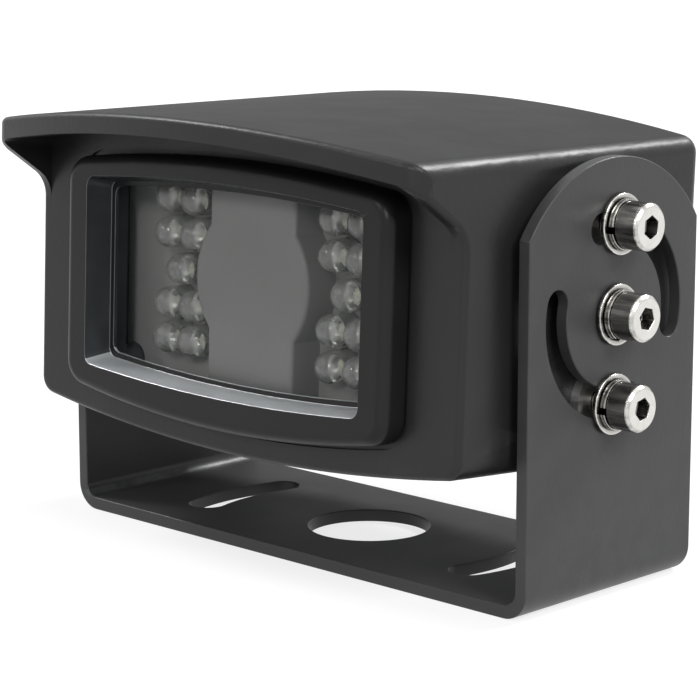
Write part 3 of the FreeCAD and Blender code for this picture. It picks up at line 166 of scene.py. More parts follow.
def turned_metal(name, dark, light, gloss, shade_reach_mm=2.2):
    """Bare turned metal: streaks along the barrel, bright faced ends, painted shade in recesses."""
    material, tree, shader, place = new_finish(name, Metallic=1.0)
    # Real tool marks are about 0.1 mm apart; these are 0.9 to 1.1 mm, the finest that shows.
    marks = add(tree, "ShaderNodeMapping", {"Vector": place, "Scale": (0.1, 1.0, 1.0)})
    along = marks.outputs["Vector"]
    streaks = mottled(tree, along, 1.1, dark, light)
    facing = add(tree, "ShaderNodeTexCoord").outputs["Normal"]
    across = add(tree, "ShaderNodeSeparateXYZ", {"Vector": facing}).outputs["X"]
    end_on = add(tree, "ShaderNodeMath", {0: across}, operation="ABSOLUTE").outputs[0]
    faced = add(tree, "ShaderNodeMapRange", {"Value": end_on, "From Min": FACED_END[0],
                                             "From Max": FACED_END[1]})
    bright = mottled(tree, place, 1.5, light, FACED_TONE)
    skin = add(tree, "ShaderNodeMix", {"Factor": faced.outputs["Result"], 6: streaks, 7: bright},
               data_type="RGBA").outputs[2]
    # Painted shade darkens the colour in a recess such as the hexagon socket, and fades out at the
    # given reach from its walls.
    open_air = add(tree, "ShaderNodeAmbientOcclusion", {"Distance": shade_reach_mm * MM},
                   samples=6).outputs["AO"]
    unshaded = add(tree, "ShaderNodeMapRange", {"Value": open_air, "From Min": UNSHADED_METAL[0],
                                             "From Max": UNSHADED_METAL[1]})
    colour = add(tree, "ShaderNodeMix", {"Factor": unshaded.outputs["Result"],
                                         6: linear(RECESS_SHADE_TONE), 7: skin}, data_type="RGBA")
    tree.links.new(colour.outputs[2], shader.inputs["Base Color"])
    rough = wandering(tree, along, 0.9, gloss - 0.06, gloss + 0.08)
    tree.links.new(rough, shader.inputs["Roughness"])
    grained(tree, shader, along, 0.9, 0.006, strength=0.3)
    return material


def anodised(name, dark, light, gloss, metal):
    """Milled aluminium under a thin anodised skin: metal gloss with an even tone."""
    material, tree, shader, place = new_finish(name, Metallic=metal)
    tree.links.new(mottled(tree, place, 6.0, dark, light), shader.inputs["Base Color"])
    rough = wandering(tree, place, 3.0, gloss - 0.03, gloss + 0.04)
    tree.links.new(rough, shader.inputs["Roughness"])
    # A real blasted skin's grain is about 0.05 mm; 0.6 mm is the finest that shows here.
    grained(tree, shader, place, 0.6, 0.003, strength=0.3)
    return material


def rubber(name, dark, light):
    """Moulded rubber: dull and even, with a faint bloom."""
    material, tree, shader, place = new_finish(name, IOR=1.52)
    tree.links.new(mottled(tree, place, 5.0, dark, light), shader.inputs["Base Color"])
    tree.links.new(wandering(tree, place, 2.0, 0.7, 0.85), shader.inputs["Roughness"])
    # A real mould skin's grain is about 0.1 mm; 0.5 mm is the finest that shows here.
    grained(tree, shader, place, 0.5, 0.02)
    return material


def tempered_glass(name, dark, light):
    """Clear toughened glass: almost unseen, with a dark cool tint and a clean gloss."""
    material, tree, shader, place = new_finish(name, Alpha=0.12, IOR=1.52)
    tree.links.new(mottled(tree, place, 20.0, dark, light), shader.inputs["Base Color"])
    tree.links.new(wandering(tree, place, 12.0, 0.01, 0.04), shader.inputs["Roughness"])
    return material


def clear_epoxy(name, dark, light):
    """Cast epoxy of a round lamp: clear and glossy, with a pale diffuse part that is partly milky
    epoxy and partly a painted glow for the light caught in its dome.
    """
    material, tree, shader, place = new_finish(name, IOR=1.54, Transmission_Weight=0.72)
    tree.links.new(mottled(tree, place, 2.0, dark, light), shader.inputs["Base Color"])
    tree.links.new(wandering(tree, place, 1.0, 0.01, 0.04), shader.inputs["Roughness"])
    return material


def solder_mask(name, dark, light):
    """Solder mask on a glass-fibre board: even and satin, with the weave just showing."""
    material, tree, shader, place = new_finish(name, IOR=1.5)
    tree.links.new(mottled(tree, place, 6.0, dark, light), shader.inputs["Base Color"])
    tree.links.new(wandering(tree, place, 3.0, 0.3, 0.45), shader.inputs["Roughness"])
    # A real weave's threads are about 0.5 mm apart; this scale gives 2 mm, so that they show.
    weave = add(tree, "ShaderNodeTexWave", {"Vector": place, "Scale": 160.0, "Distortion": 0.5})
    bump = add(tree, "ShaderNodeBump", {"Height": weave.outputs["Fac"], "Distance": 0.01 * MM,
                                        "Strength": 0.3})
    tree.links.new(bump.outputs["Normal"], shader.inputs["Normal"])
    return material


# Powder coat baked on die-cast aluminium: near black, soft sheen on the sides, dull dust on top.
CAST_COAT = powder_coat("powder_coat_on_cast_aluminium", "#222223", "#252526", worn_and_lit="#48494a",
                        peel_mm=0.9, depth_mm=0.015, gloss=0.35, dulled=0.78, shine=0.27)
# The same powder on folded steel sheet, on a smoother ground; its colour is painted paler than the
# casting's, a painted sheen for the light that falls on the ears.
SHEET_COAT = powder_coat("powder_coat_on_sheet_steel", "#3c3c3d", "#3f3f40", worn_and_lit="#6c6e6e",
                         peel_mm=0.8, depth_mm=0.012, gloss=0.36, dulled=0.68, shine=0.3)
# Powder coat on the small cast bezel: the darkest of the three, with little sheen.
BEZEL_COAT = powder_coat("powder_coat_on_cast_bezel", "#1b1b1b", "#1e1e1e", worn_and_lit="#4c4e4f",
                         peel_mm=0.7, depth_mm=0.012, gloss=0.34, dulled=0.5, shine=0.2)
# Milled aluminium, dyed grey and anodised: a dark metal gloss that picks up the room.
SLOPE_METAL = anodised("grey_anodised_aluminium", "#54575a", "#5c5f62", gloss=0.34, metal=0.9)
# The same grey anodised aluminium, painted pale for the sill under the glass: a painted highlight
# for the strip that catches the light.
LIT_SILL_METAL = anodised("anodised_aluminium_painted_highlight", "#cfd3d6", "#d6dadd", gloss=0.32, metal=0.45)
# ABS moulded in a spark-eroded tool, with no clear reflections; its grey is painted paler than the
# real plate, to make up for light that its recess shuts out.
PLATE_ABS = moulded("moulded_abs_lamp_plate", "#a9aaa7", "#aeafac", 0.5, 0.5, 0.01)
# A second moulding of that ABS, also painted paler for the shade in the recess but less than the
# plate, so one shade darker than it.
COVER_ABS = moulded("moulded_abs_centre_cover", "#8e8f8d", "#929391", 0.48, 0.5, 0.01)
# Glass-filled nylon, moulded: black, with a coarse satin skin.
BLACK_NYLON = moulded("moulded_nylon_gland", "#1d1d1e", "#262627", 0.5, 0.4, 0.03)
# Unfilled nylon, moulded: milky and slightly warm.
WHITE_NYLON = moulded("moulded_nylon_socket", "#d6d4c8", "#e2e0d6", 0.45, 0.4, 0.02)
# Ferrite powder, pressed and fired: charcoal, dull and grainy.
FERRITE = moulded("pressed_ferrite_core", "#262424", "#33302f", 0.75, 0.3, 0.04)
# PVC sleeve shrunk on by heat: dark blue and glossy.
SLEEVE = moulded("shrunk_pvc_sleeve", "#1c2333", "#252e40", 0.3, 0.8, 0.01)
# Phosphor stirred in silicone gel and cast: a pale warm drop.
PHOSPHOR = moulded("cast_phosphor_gel", "#e0ddca", "#ebe8da", 0.35, 0.3, 0.01)
# Stainless steel, cold headed and turned: dark streaks round the barrel and a bright faced end.
STAINLESS = turned_metal("turned_stainless_steel", "#5c5b59", "#cfcdc8", 0.24)
# Stamped lead frame with a silver plating: a pale glint inside the lamp.
PLATED_LEAD = turned_metal("silver_plated_lead_frame", "#9c9c99", "#d0d0cc", 0.3)
# Steel with bright zinc plating: a cool even grey.
ZINC = turned_metal("zinc_plated_steel", "#8f908e", "#b8b9b6", 0.34)
# Brass turned from bar: warm yellow with fine streaks.
BRASS = turned_metal("turned_brass", "#a07f3c", "#c9a55a", 0.32)
# Aluminium turned from bar and left bare: pale and soft, with little painted shade in its recesses.
BARE_ALUMINIUM = turned_metal("turned_aluminium", "#c4c4c2", "#dededc", 0.42, shade_reach_mm=0.1)
# EPDM rubber, moulded: dull black.
EPDM = rubber("moulded_epdm_rubber", "#161616", "#222221")
# Silicone rubber, moulded: dull grey, a soft line round the glass.
SILICONE = rubber("moulded_silicone_rubber", "#62676b", "#6e7377")
# Float glass toughened by heat: clear, with a faint cool tint.
GLASS = tempered_glass("toughened_glass", "#1b1f22", "#24292c")
# Epoxy cast round the lead frame: nearly clear; its pale diffuse part is partly milky epoxy and
# partly a painted glow for the light the dome gathers.
EPOXY = clear_epoxy("clear_cast_epoxy", "#e9ece8", "#f7f8f4")
# White solder mask printed on glass fibre: a bright, even satin.
WHITE_MASK = solder_mask("white_solder_mask", "#c9cac6", "#d6d7d3")
# Green solder mask printed on glass fibre: dark green over the weave.
GREEN_MASK = solder_mask("green_solder_mask", "#0f4a2a", "#155a34")


# Pieces

# In degrees: an edge bent by more than CREASE stays sharp, and faces within FLAT are one flat.
CREASE, FLAT = 32.0, 0.5
# How far a face's normal leans, where 1 is all the way: out of the window, or upwards.
LOOKS_OUT, LOOKS_UP = 0.75, 0.5


def finish_piece(piece, body, material):
    """Gives a piece its material and the body that it rides on."""
    piece.data.materials.clear()
    piece.data.materials.append(material)
    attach(piece, body)
    return piece


def clean_up(mesh, merge_mm, flatten):
    """Merges points that coincide, and joins the faces of one flat where that is wanted."""
    work = bmesh.new()
    work.from_mesh(mesh)
    bmesh.ops.remove_doubles(work, verts=work.verts, dist=merge_mm * MM)
    if flatten:
        bmesh.ops.dissolve_limit(work, angle_limit=math.radians(FLAT), verts=work.verts,
                                 edges=work.edges)
    work.to_mesh(mesh)
    work.free()


def soften(mesh):
    """Smooth faces, sharp only where two faces meet at a clear angle."""
    work = bmesh.new()
    work.from_mesh(mesh)
    for face in work.faces:
        face.smooth = True
    for edge in work.edges:
        closed = len(edge.link_faces) == 2
        edge.smooth = not (closed and edge.calc_face_angle(0) > math.radians(CREASE))
    work.to_mesh(mesh)
    work.free()


def round_edges(piece, round_mm):
    """Small edge rounds, and normals that keep the flats flat."""
    soften(piece.data)
    if round_mm:
        bevel = piece.modifiers.new("EdgeRound", "BEVEL")
        bevel.width = round_mm * MM
        bevel.segments = 2
        bevel.limit_method = "ANGLE"
        bevel.angle_limit = math.radians(CREASE)
    weighted = piece.modifiers.new("EvenNormals", "WEIGHTED_NORMAL")
    weighted.keep_sharp = True
    weighted.weight = 80


def dressed_copy(node, body, material, round_mm=0.0):
    """A merged copy of a CAD node, with soft faces and small edge rounds, in the node's place."""
    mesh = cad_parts[node].data.copy()
    mesh.name = node + "_finished"
    piece = bpy.data.objects.new(node + "_finished", mesh)
    bpy.context.scene.collection.objects.link(piece)
    clean_up(mesh, 1e-5, flatten=round_mm > 0)
    round_edges(piece, round_mm)
    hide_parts(node)
    return finish_piece(piece, body, material)


dressed_copy("mounting_bracket", BRACKET, SHEET_COAT, round_mm=0.15)
shell = dressed_copy("housing_shell", HEAD, CAST_COAT)
bezel = dressed_copy("window_bezel", HEAD, BEZEL_COAT, round_mm=0.12)
dressed_copy("window_glass", HEAD, GLASS)
dressed_copy("led_holder", HEAD, PLATE_ABS, round_mm=0.1)
dressed_copy("centre_cover", HEAD, COVER_ABS)
dressed_copy("rear_cover", HEAD, CAST_COAT, round_mm=0.25)
LAMPS = [f"led_{side}_{number}" for side in ("left", "right") for number in range(1, 10)]
for lamp in LAMPS:
    dressed_copy(lamp, HEAD, EPOXY)


def bare_the_reveal(piece, metal, lit_sill_metal, across, up, front, back):
    """Gives the faces round the window, inside the given reach, their metal, and the sill a pale
    copy of it, a painted highlight.

    The reach is in mm in the upright head: across and up from the middle, front to back along it.
    """
    mesh = piece.data
    mesh.materials.append(metal)
    mesh.materials.append(lit_sill_metal)
    upright = TILT.inverted()
    turn = upright.to_3x3()
    for face in mesh.polygons:
        spot, lean = upright @ face.center / MM, turn @ face.normal
        inside = abs(spot.x) < across and abs(spot.z) < up and front < spot.y < back
        # Faces of the sill look up into the light, so they get the painted highlight.
        on_the_sill = lean.z > LOOKS_UP and spot.z < 0
        if inside and abs(lean.y) < LOOKS_OUT:
            face.material_index = 2 if on_the_sill else 1


bare_the_reveal(bezel, SLOPE_METAL, LIT_SILL_METAL, across=29.9, up=16.3, front=-33.0, back=-24.0)
bare_the_reveal(shell, SLOPE_METAL, SLOPE_METAL, across=33.0, up=19.0, front=-30.0, back=-18.0)

CARRIED_OVER = {
    "window_gasket": SILICONE, "led_board": WHITE_MASK, "board_screws": ZINC,
    "board_spacers": BRASS, "driver_board": GREEN_MASK, "driver_screws": ZINC,
    "power_inductor": FERRITE, "smoothing_capacitor": SLEEVE, "supply_header": WHITE_NYLON,
    "rear_gasket": EPDM, "gland_body": BLACK_NYLON, "gland_seal": EPDM,
    "gland_cap": BLACK_NYLON, "gland_nut": BLACK_NYLON, "ear_spacers": BARE_ALUMINIUM,
}
for node, material in CARRIED_OVER.items():
    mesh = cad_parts[node].data
    mesh.materials.clear()
    mesh.materials.append(material)


# Pieces that repeat, each a pattern of nodes set on a few points

# Sides of round heads and shanks, domed heads and their shanks, lamp cups and grip ribs.
HEAD_SIDES, SHANK_SIDES, DOME_SIDES, THIN_SIDES, CUP_SIDES, RIB_SIDES = 64, 32, 48, 24, 32, 8
# Steps along a washer and a spring, and how far round the spring's wire goes, in degrees.
WASHER_STEPS, SPRING_STEPS, SPRING_SWEEP = 64, 60, 345
# Sides and rings of a drop of gel, and how flat it lies against a ball.
DROP_SIDES, DROP_RINGS, DROP_FLATNESS = 24, 12, 0.4
TURN_SEED = 11


def new_pattern(name, *sizes):
    """Starts a Geometry Nodes tree: the points come in, with a named input for each size."""
    tree = bpy.data.node_groups.new(name, "GeometryNodeTree")
    tree.interface.new_socket("Geometry", in_out="INPUT", socket_type="NodeSocketGeometry")
    tree.interface.new_socket("Geometry", in_out="OUTPUT", socket_type="NodeSocketGeometry")
    for size in sizes:
        tree.interface.new_socket(size, in_out="INPUT", socket_type="NodeSocketFloat")
    return tree, add(tree, "NodeGroupInput").outputs


def lifted(tree, shape, height):
    """The shape moved up its own axis by a height."""
    up = add(tree, "ShaderNodeCombineXYZ", {"Z": height}).outputs["Vector"]
    return add(tree, "GeometryNodeTransform", {"Geometry": shape,
                                               "Translation": up}).outputs["Geometry"]


def stamped(tree, given, shape, material, turns):
    """Sets the shape on every point, along its arrow and turned at random, and ends the tree."""
    arrow = add(tree, "GeometryNodeInputNamedAttribute", {"Name": "facing"},
                data_type="FLOAT_VECTOR").outputs["Attribute"]
    aimed = add(tree, "FunctionNodeAlignRotationToVector", {"Vector": arrow}, axis="Z")
    spin = add(tree, "FunctionNodeRandomValue", {2: 0.0, 3: turns * 2 * math.pi, 8: TURN_SEED},
               data_type="FLOAT").outputs[1]
    round_axis = add(tree, "ShaderNodeCombineXYZ", {"Z": spin}).outputs["Vector"]
    by = add(tree, "FunctionNodeEulerToRotation", {"Euler": round_axis}).outputs["Rotation"]
    turned = add(tree, "FunctionNodeRotateRotation", {"Rotation": aimed.outputs["Rotation"],
                                                      "Rotate By": by}, rotation_space="LOCAL")
    placed = add(tree, "GeometryNodeInstanceOnPoints", {
        "Points": given["Geometry"], "Instance": shape, "Rotation": turned.outputs["Rotation"]})
    real = add(tree, "GeometryNodeRealizeInstances", {"Geometry": placed.outputs["Instances"]})
    done = add(tree, "GeometryNodeSetMaterial", {"Geometry": real.outputs["Geometry"],
                                                 "Material": material})
    add(tree, "NodeGroupOutput", {"Geometry": done.outputs["Geometry"]})


def grow(name, tree, spots, body, material, sizes, round_mm=0.0, replaced=()):
    """Runs a tree on points with arrows, keeps a plain mesh and lets it ride on a body."""
    seeds = bpy.data.meshes.new(name + "_spots")
    seeds.from_pydata([spot for spot, arrow in spots], [], [])
    facing = seeds.attributes.new("facing", "FLOAT_VECTOR", "POINT")
    facing.data.foreach_set("vector", [part for spot, arrow in spots for part in arrow])
    piece = bpy.data.objects.new(name, seeds)
    bpy.context.scene.collection.objects.link(piece)
    pattern = piece.modifiers.new("Pattern", "NODES")
    pattern.node_group = tree
    for socket in tree.interface.items_tree:
        if socket.in_out == "INPUT" and socket.name in sizes:
            pattern[socket.identifier] = sizes[socket.name] * MM
    evaluated = piece.evaluated_get(bpy.context.evaluated_depsgraph_get())
    plain = bpy.data.meshes.new_from_object(evaluated)
    piece.modifiers.remove(pattern)
    piece.data = plain
    plain.name = name
    plain.polygons.foreach_set("material_index", [0] * len(plain.polygons))
    clean_up(plain, 0.004, flatten=True)
    round_edges(piece, round_mm)
    finish_piece(piece, body, material)
    if replaced:
        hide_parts(*replaced)


def cap_screw(material):
    """A socket cap screw: a chamfered round head with a hexagon socket, and its shank below."""
    tree, given = new_pattern(
        "cap_screw", "Head Radius", "Head Height", "Chamfer Foot", "Chamfer Crown",
        "Hexagon Radius", "Socket Floor", "Shank Radius", "Shank Length", "Shank Foot")
    barrel = add(tree, "GeometryNodeMeshCone", {
        "Vertices": HEAD_SIDES, "Radius Top": given["Head Radius"],
        "Radius Bottom": given["Head Radius"], "Depth": given["Head Height"]})
    cutter = add(tree, "GeometryNodeMeshCone", {
        "Vertices": HEAD_SIDES, "Radius Top": given["Chamfer Crown"],
        "Radius Bottom": given["Chamfer Foot"], "Depth": given["Head Height"]})
    head = add(tree, "GeometryNodeMeshBoolean", {"Mesh 2": barrel.outputs["Mesh"]},
               operation="INTERSECT", solver="EXACT")
    tree.links.new(cutter.outputs["Mesh"], head.inputs["Mesh 2"])
    hexagon = add(tree, "GeometryNodeMeshCone", {
        "Vertices": 6, "Radius Top": given["Hexagon Radius"],
        "Radius Bottom": given["Hexagon Radius"], "Depth": given["Head Height"]})
    socket = lifted(tree, hexagon.outputs["Mesh"], given["Socket Floor"])
    holed = add(tree, "GeometryNodeMeshBoolean", {"Mesh 1": head.outputs["Mesh"],
                                                  "Mesh 2": socket},
                operation="DIFFERENCE", solver="EXACT")
    rod = add(tree, "GeometryNodeMeshCone", {
        "Vertices": SHANK_SIDES, "Radius Top": given["Shank Radius"],
        "Radius Bottom": given["Shank Radius"], "Depth": given["Shank Length"]})
    whole = add(tree, "GeometryNodeJoinGeometry", {"Geometry": holed.outputs["Mesh"]})
    tree.links.new(lifted(tree, rod.outputs["Mesh"], given["Shank Foot"]),
                   whole.inputs["Geometry"])
    stamped(tree, given, whole.outputs["Geometry"], material, turns=1.0)
    return tree


def washer(material):
    """A flat washer: a thin ring with slightly rolled edges."""
    tree, given = new_pattern("flat_washer", "Middle Radius", "Width", "Thickness", "Roll")
    path = add(tree, "GeometryNodeCurvePrimitiveCircle", {"Resolution": WASHER_STEPS,
                                                          "Radius": given["Middle Radius"]})
    section = add(tree, "GeometryNodeCurvePrimitiveQuadrilateral", {"Width": given["Width"],
                                                                    "Height": given["Thickness"]})
    eased = add(tree, "GeometryNodeFilletCurve", {"Curve": section.outputs["Curve"], "Count": 3,
                                                  "Radius": given["Roll"]}, mode="POLY")
    ring = add(tree, "GeometryNodeCurveToMesh", {"Curve": path.outputs["Curve"],
                                                 "Profile Curve": eased.outputs["Curve"]})
    stamped(tree, given, ring.outputs["Mesh"], material, turns=0.0)
    return tree


def split_washer(material):
    """A split spring washer: one open turn of square wire that rises from end to end."""
    tree, given = new_pattern("split_washer", "Middle Radius", "Width", "Thickness", "Roll",
                              "Rise")
    arc = add(tree, "GeometryNodeCurveArc", {
        "Resolution": SPRING_STEPS, "Radius": given["Middle Radius"], "Start Angle": 0.0,
        "Sweep Angle": math.radians(SPRING_SWEEP)}, mode="RADIUS")
    along = add(tree, "GeometryNodeSplineParameter").outputs["Factor"]
    middle = add(tree, "ShaderNodeMath", {0: along, 1: 0.5}, operation="SUBTRACT").outputs[0]
    height = add(tree, "ShaderNodeMath", {0: middle, 1: given["Rise"]},
                 operation="MULTIPLY").outputs[0]
    rise = add(tree, "ShaderNodeCombineXYZ", {"Z": height}).outputs["Vector"]
    turn = add(tree, "GeometryNodeSetPosition", {"Geometry": arc.outputs["Curve"],
                                                 "Offset": rise})
    section = add(tree, "GeometryNodeCurvePrimitiveQuadrilateral", {"Width": given["Width"],
                                                                    "Height": given["Thickness"]})
    eased = add(tree, "GeometryNodeFilletCurve", {"Curve": section.outputs["Curve"], "Count": 2,
                                                  "Radius": given["Roll"]}, mode="POLY")
    wire = add(tree, "GeometryNodeCurveToMesh", {
        "Curve": turn.outputs["Geometry"], "Fill Caps": True,
        "Profile Curve": eased.outputs["Curve"]})
    stamped(tree, given, wire.outputs["Mesh"], material, turns=1.0)
    return tree


def cross_screw(material):
    """A round-headed screw: a low dome with a cross cut in it, and its shank below."""
    tree, given = new_pattern(
        "cross_screw", "Head Radius", "Head Height", "Dome Radius", "Dome Middle", "Slot Length",
        "Slot Width", "Slot Floor", "Shank Radius", "Shank Length", "Shank Foot")
    barrel = add(tree, "GeometryNodeMeshCone", {
        "Vertices": DOME_SIDES, "Radius Top": given["Head Radius"],
        "Radius Bottom": given["Head Radius"], "Depth": given["Head Height"]})
    ball = add(tree, "GeometryNodeMeshUVSphere", {
        "Segments": DOME_SIDES, "Rings": DOME_SIDES, "Radius": given["Dome Radius"]})
    head = add(tree, "GeometryNodeMeshBoolean", {"Mesh 2": barrel.outputs["Mesh"]},
               operation="INTERSECT", solver="EXACT")
    tree.links.new(lifted(tree, ball.outputs["Mesh"], given["Dome Middle"]),
                   head.inputs["Mesh 2"])
    crossed = head.outputs["Mesh"]
    for long, short in (("X", "Y"), ("Y", "X")):
        size = add(tree, "ShaderNodeCombineXYZ", {
            long: given["Slot Length"], short: given["Slot Width"], "Z": given["Head Height"]})
        bar = add(tree, "GeometryNodeMeshCube", {"Size": size.outputs["Vector"]})
        sunk = lifted(tree, bar.outputs["Mesh"], given["Slot Floor"])
        crossed = add(tree, "GeometryNodeMeshBoolean", {"Mesh 1": crossed, "Mesh 2": sunk},
                      operation="DIFFERENCE", solver="EXACT").outputs["Mesh"]
    rod = add(tree, "GeometryNodeMeshCone", {
        "Vertices": THIN_SIDES, "Radius Top": given["Shank Radius"],
        "Radius Bottom": given["Shank Radius"], "Depth": given["Shank Length"]})
    whole = add(tree, "GeometryNodeJoinGeometry", {"Geometry": crossed})
    tree.links.new(lifted(tree, rod.outputs["Mesh"], given["Shank Foot"]),
                   whole.inputs["Geometry"])
    stamped(tree, given, whole.outputs["Geometry"], material, turns=1.0)
    return tree


def lamp_frame(material):
    """The metal inside a round lamp: two posts, and a small bright cup on one of them."""
    tree, given = new_pattern(
        "lamp_frame", "Cup Foot Radius", "Cup Rim Radius", "Cup Height", "Bowl Foot Radius",
        "Bowl Rim Radius", "Cup Foot", "Bowl Foot", "Post Width", "Post Thickness",
        "Post Length", "Post Middle", "Second Post")
    cup = add(tree, "GeometryNodeMeshCone", {
        "Vertices": CUP_SIDES, "Radius Top": given["Cup Rim Radius"],
        "Radius Bottom": given["Cup Foot Radius"], "Depth": given["Cup Height"]})
    bowl = add(tree, "GeometryNodeMeshCone", {
        "Vertices": CUP_SIDES, "Radius Top": given["Bowl Rim Radius"],
        "Radius Bottom": given["Bowl Foot Radius"], "Depth": given["Cup Height"]})
    hollow = add(tree, "GeometryNodeMeshBoolean", {
        "Mesh 1": lifted(tree, cup.outputs["Mesh"], given["Cup Foot"]),
        "Mesh 2": lifted(tree, bowl.outputs["Mesh"], given["Bowl Foot"])},
        operation="DIFFERENCE", solver="EXACT")
    size = add(tree, "ShaderNodeCombineXYZ", {
        "X": given["Post Width"], "Y": given["Post Thickness"], "Z": given["Post Length"]})
    post = add(tree, "GeometryNodeMeshCube", {"Size": size.outputs["Vector"]})
    standing = lifted(tree, post.outputs["Mesh"], given["Post Middle"])
    aside = add(tree, "ShaderNodeCombineXYZ", {"X": given["Second Post"]}).outputs["Vector"]
    second = add(tree, "GeometryNodeTransform", {"Geometry": standing, "Translation": aside})
    whole = add(tree, "GeometryNodeJoinGeometry", {"Geometry": hollow.outputs["Mesh"]})
    tree.links.new(standing, whole.inputs["Geometry"])
    tree.links.new(second.outputs["Geometry"], whole.inputs["Geometry"])
    stamped(tree, given, whole.outputs["Geometry"], material, turns=1.0)
    return tree


def gel_drop(material):
    """The drop of phosphor gel that fills a lamp's cup."""
    tree, given = new_pattern("gel_drop", "Radius", "Height")
    drop = add(tree, "GeometryNodeMeshUVSphere", {"Segments": DROP_SIDES, "Rings": DROP_RINGS,
                                                  "Radius": given["Radius"]})
    low = add(tree, "GeometryNodeTransform", {"Geometry": drop.outputs["Mesh"],
                                              "Scale": (1.0, 1.0, DROP_FLATNESS)})
    stamped(tree, given, lifted(tree, low.outputs["Geometry"], given["Height"]), material,
            turns=0.0)
    return tree


def grip_rib(material):
    """One straight rib for the gland cap's collar: an eight-sided rod, half sunk in it."""
    tree, given = new_pattern("grip_rib", "Length", "Radius")
    rib = add(tree, "GeometryNodeMeshCone", {
        "Vertices": RIB_SIDES, "Radius Top": given["Radius"],
        "Radius Bottom": given["Radius"], "Depth": given["Length"]})
    stamped(tree, given, rib.outputs["Mesh"], material, turns=0.0)
    return tree


# Screws and washers in the ears, in mm: each screw's y and z, the pivot first, and each seat's x.
EAR_SCREWS = ((0.0, 42.3), (0.57, 55.39), (-0.57, 29.21))
WASHER_MIDDLE, SPRING_MIDDLE, HEAD_SEAT = 49.45, 50.35, 50.85


def ear_spots(across_mm, screws):
    """A point and an outward arrow for each of the screws, on both sides."""
    return [(Vector((side * across_mm, y, z)) * MM, Vector((side, 0, 0)))
            for side in (-1, 1) for y, z in screws]


CAP_SIZES = {"Head Radius": 3.5, "Head Height": 4.0, "Chamfer Foot": 7.0, "Chamfer Crown": 3.0,
             "Hexagon Radius": 1.732, "Socket Floor": 1.8, "Shank Radius": 2.0,
             "Shank Length": 11.35, "Shank Foot": -11.35}
screw_tree = cap_screw(STAINLESS)
for name, screws, replaced in (("pivot_cap_screws", EAR_SCREWS[:1], "pivot_screws"),
                               ("lock_cap_screws", EAR_SCREWS[1:], "lock_screws")):
    grow(name, screw_tree, ear_spots(HEAD_SEAT, screws), HEAD, STAINLESS, CAP_SIZES,
         round_mm=0.12, replaced=(replaced,))
grow("rolled_washers", washer(STAINLESS), ear_spots(WASHER_MIDDLE, EAR_SCREWS), HEAD,
     STAINLESS,
     {"Middle Radius": 3.325, "Width": 2.35, "Thickness": 0.8, "Roll": 0.18},
     replaced=("flat_washers",))
grow("split_washers", split_washer(STAINLESS), ear_spots(SPRING_MIDDLE, EAR_SCREWS), HEAD,
     STAINLESS,
     {"Middle Radius": 2.925, "Width": 1.75, "Thickness": 0.86, "Roll": 0.15, "Rise": 0.13},
     replaced=("spring_washers",))

# Screws in the rear cover's corners, in mm in the upright head.
COVER_SEAT, COVER_ACROSS, COVER_UP = 23.4, 39.3, 17.0
rearward = (TILT.to_3x3() @ Vector((0, 1, 0))).normalized()
cover_spots = [(TILT @ (Vector((x, COVER_SEAT, z)) * MM), rearward)
               for x in (-COVER_ACROSS, COVER_ACROSS) for z in (-COVER_UP, COVER_UP)]
grow("domed_cover_screws", cross_screw(STAINLESS), cover_spots, HEAD, STAINLESS,
     {"Head Radius": 2.75, "Head Height": 1.8, "Dome Radius": 3.2, "Dome Middle": -1.4,
      "Slot Length": 3.0, "Slot Width": 0.6, "Slot Floor": 1.6, "Shank Radius": 1.5,
      "Shank Length": 6.0, "Shank Foot": -6.0},
     round_mm=0.06, replaced=("rear_cover_screws",))

# The metal and the gel inside each lamp, from the foot of its flange.
LAMP_LENGTH = 8.6
forward = -rearward
lamp_spots = []
for lamp in LAMPS:
    low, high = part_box(lamp)
    middle = (Vector(low) + Vector(high)) / 2
    lamp_spots.append((middle - forward * LAMP_LENGTH / 2 * MM, forward))
grow("lamp_frames", lamp_frame(PLATED_LEAD), lamp_spots, HEAD, PLATED_LEAD,
     {"Cup Foot Radius": 0.7, "Cup Rim Radius": 1.25, "Cup Height": 0.9,
      "Bowl Foot Radius": 0.45, "Bowl Rim Radius": 1.28, "Cup Foot": 4.3, "Bowl Foot": 4.6,
      "Post Width": 1.0, "Post Thickness": 0.5, "Post Length": 4.0, "Post Middle": 2.4,
      "Second Post": 1.5})
grow("phosphor_drops", gel_drop(PHOSPHOR), lamp_spots, HEAD, PHOSPHOR,
     {"Radius": 0.7, "Height": 4.85})

# Grip ribs round the gland cap's collar, in mm in the upright head.
RIBS, COLLAR_RADIUS, COLLAR_START = 24, 7.3, 27.9
rib_spots = []
for number in range(RIBS):
    turn = 2 * math.pi * number / RIBS
    across, up = COLLAR_RADIUS * math.cos(turn), COLLAR_RADIUS * math.sin(turn)
    rib_spots.append((TILT @ (Vector((across, COLLAR_START, up)) * MM), rearward))
grow("gland_cap_ribs", grip_rib(BLACK_NYLON), rib_spots, HEAD, BLACK_NYLON,
     {"Length": 4.7, "Radius": 0.4})


# Studio: white paper and white air for the eye, and less light from them on the object.

# The floor's half side in metres, and the light that the paper adds for the eye.
FLOOR_REACH, PAPER_LIFT = 4.0, 0.76
# The air's strength as light on the object, and as the background that the eye sees.
AIR_ON_THINGS, AIR_TO_THE_EYE = 0.3, 1.0
# The camera: sensor in mm, view angle in degrees, a slightly longer lens, and its places in mm.
SENSOR, VIEW_ANGLE, LONGER = 36.0, 15.65, 1.009
CAMERA_SPOT, CAMERA_AIM = (275.976, -287.387, 107.055), (-4.295, 0, 29.879)
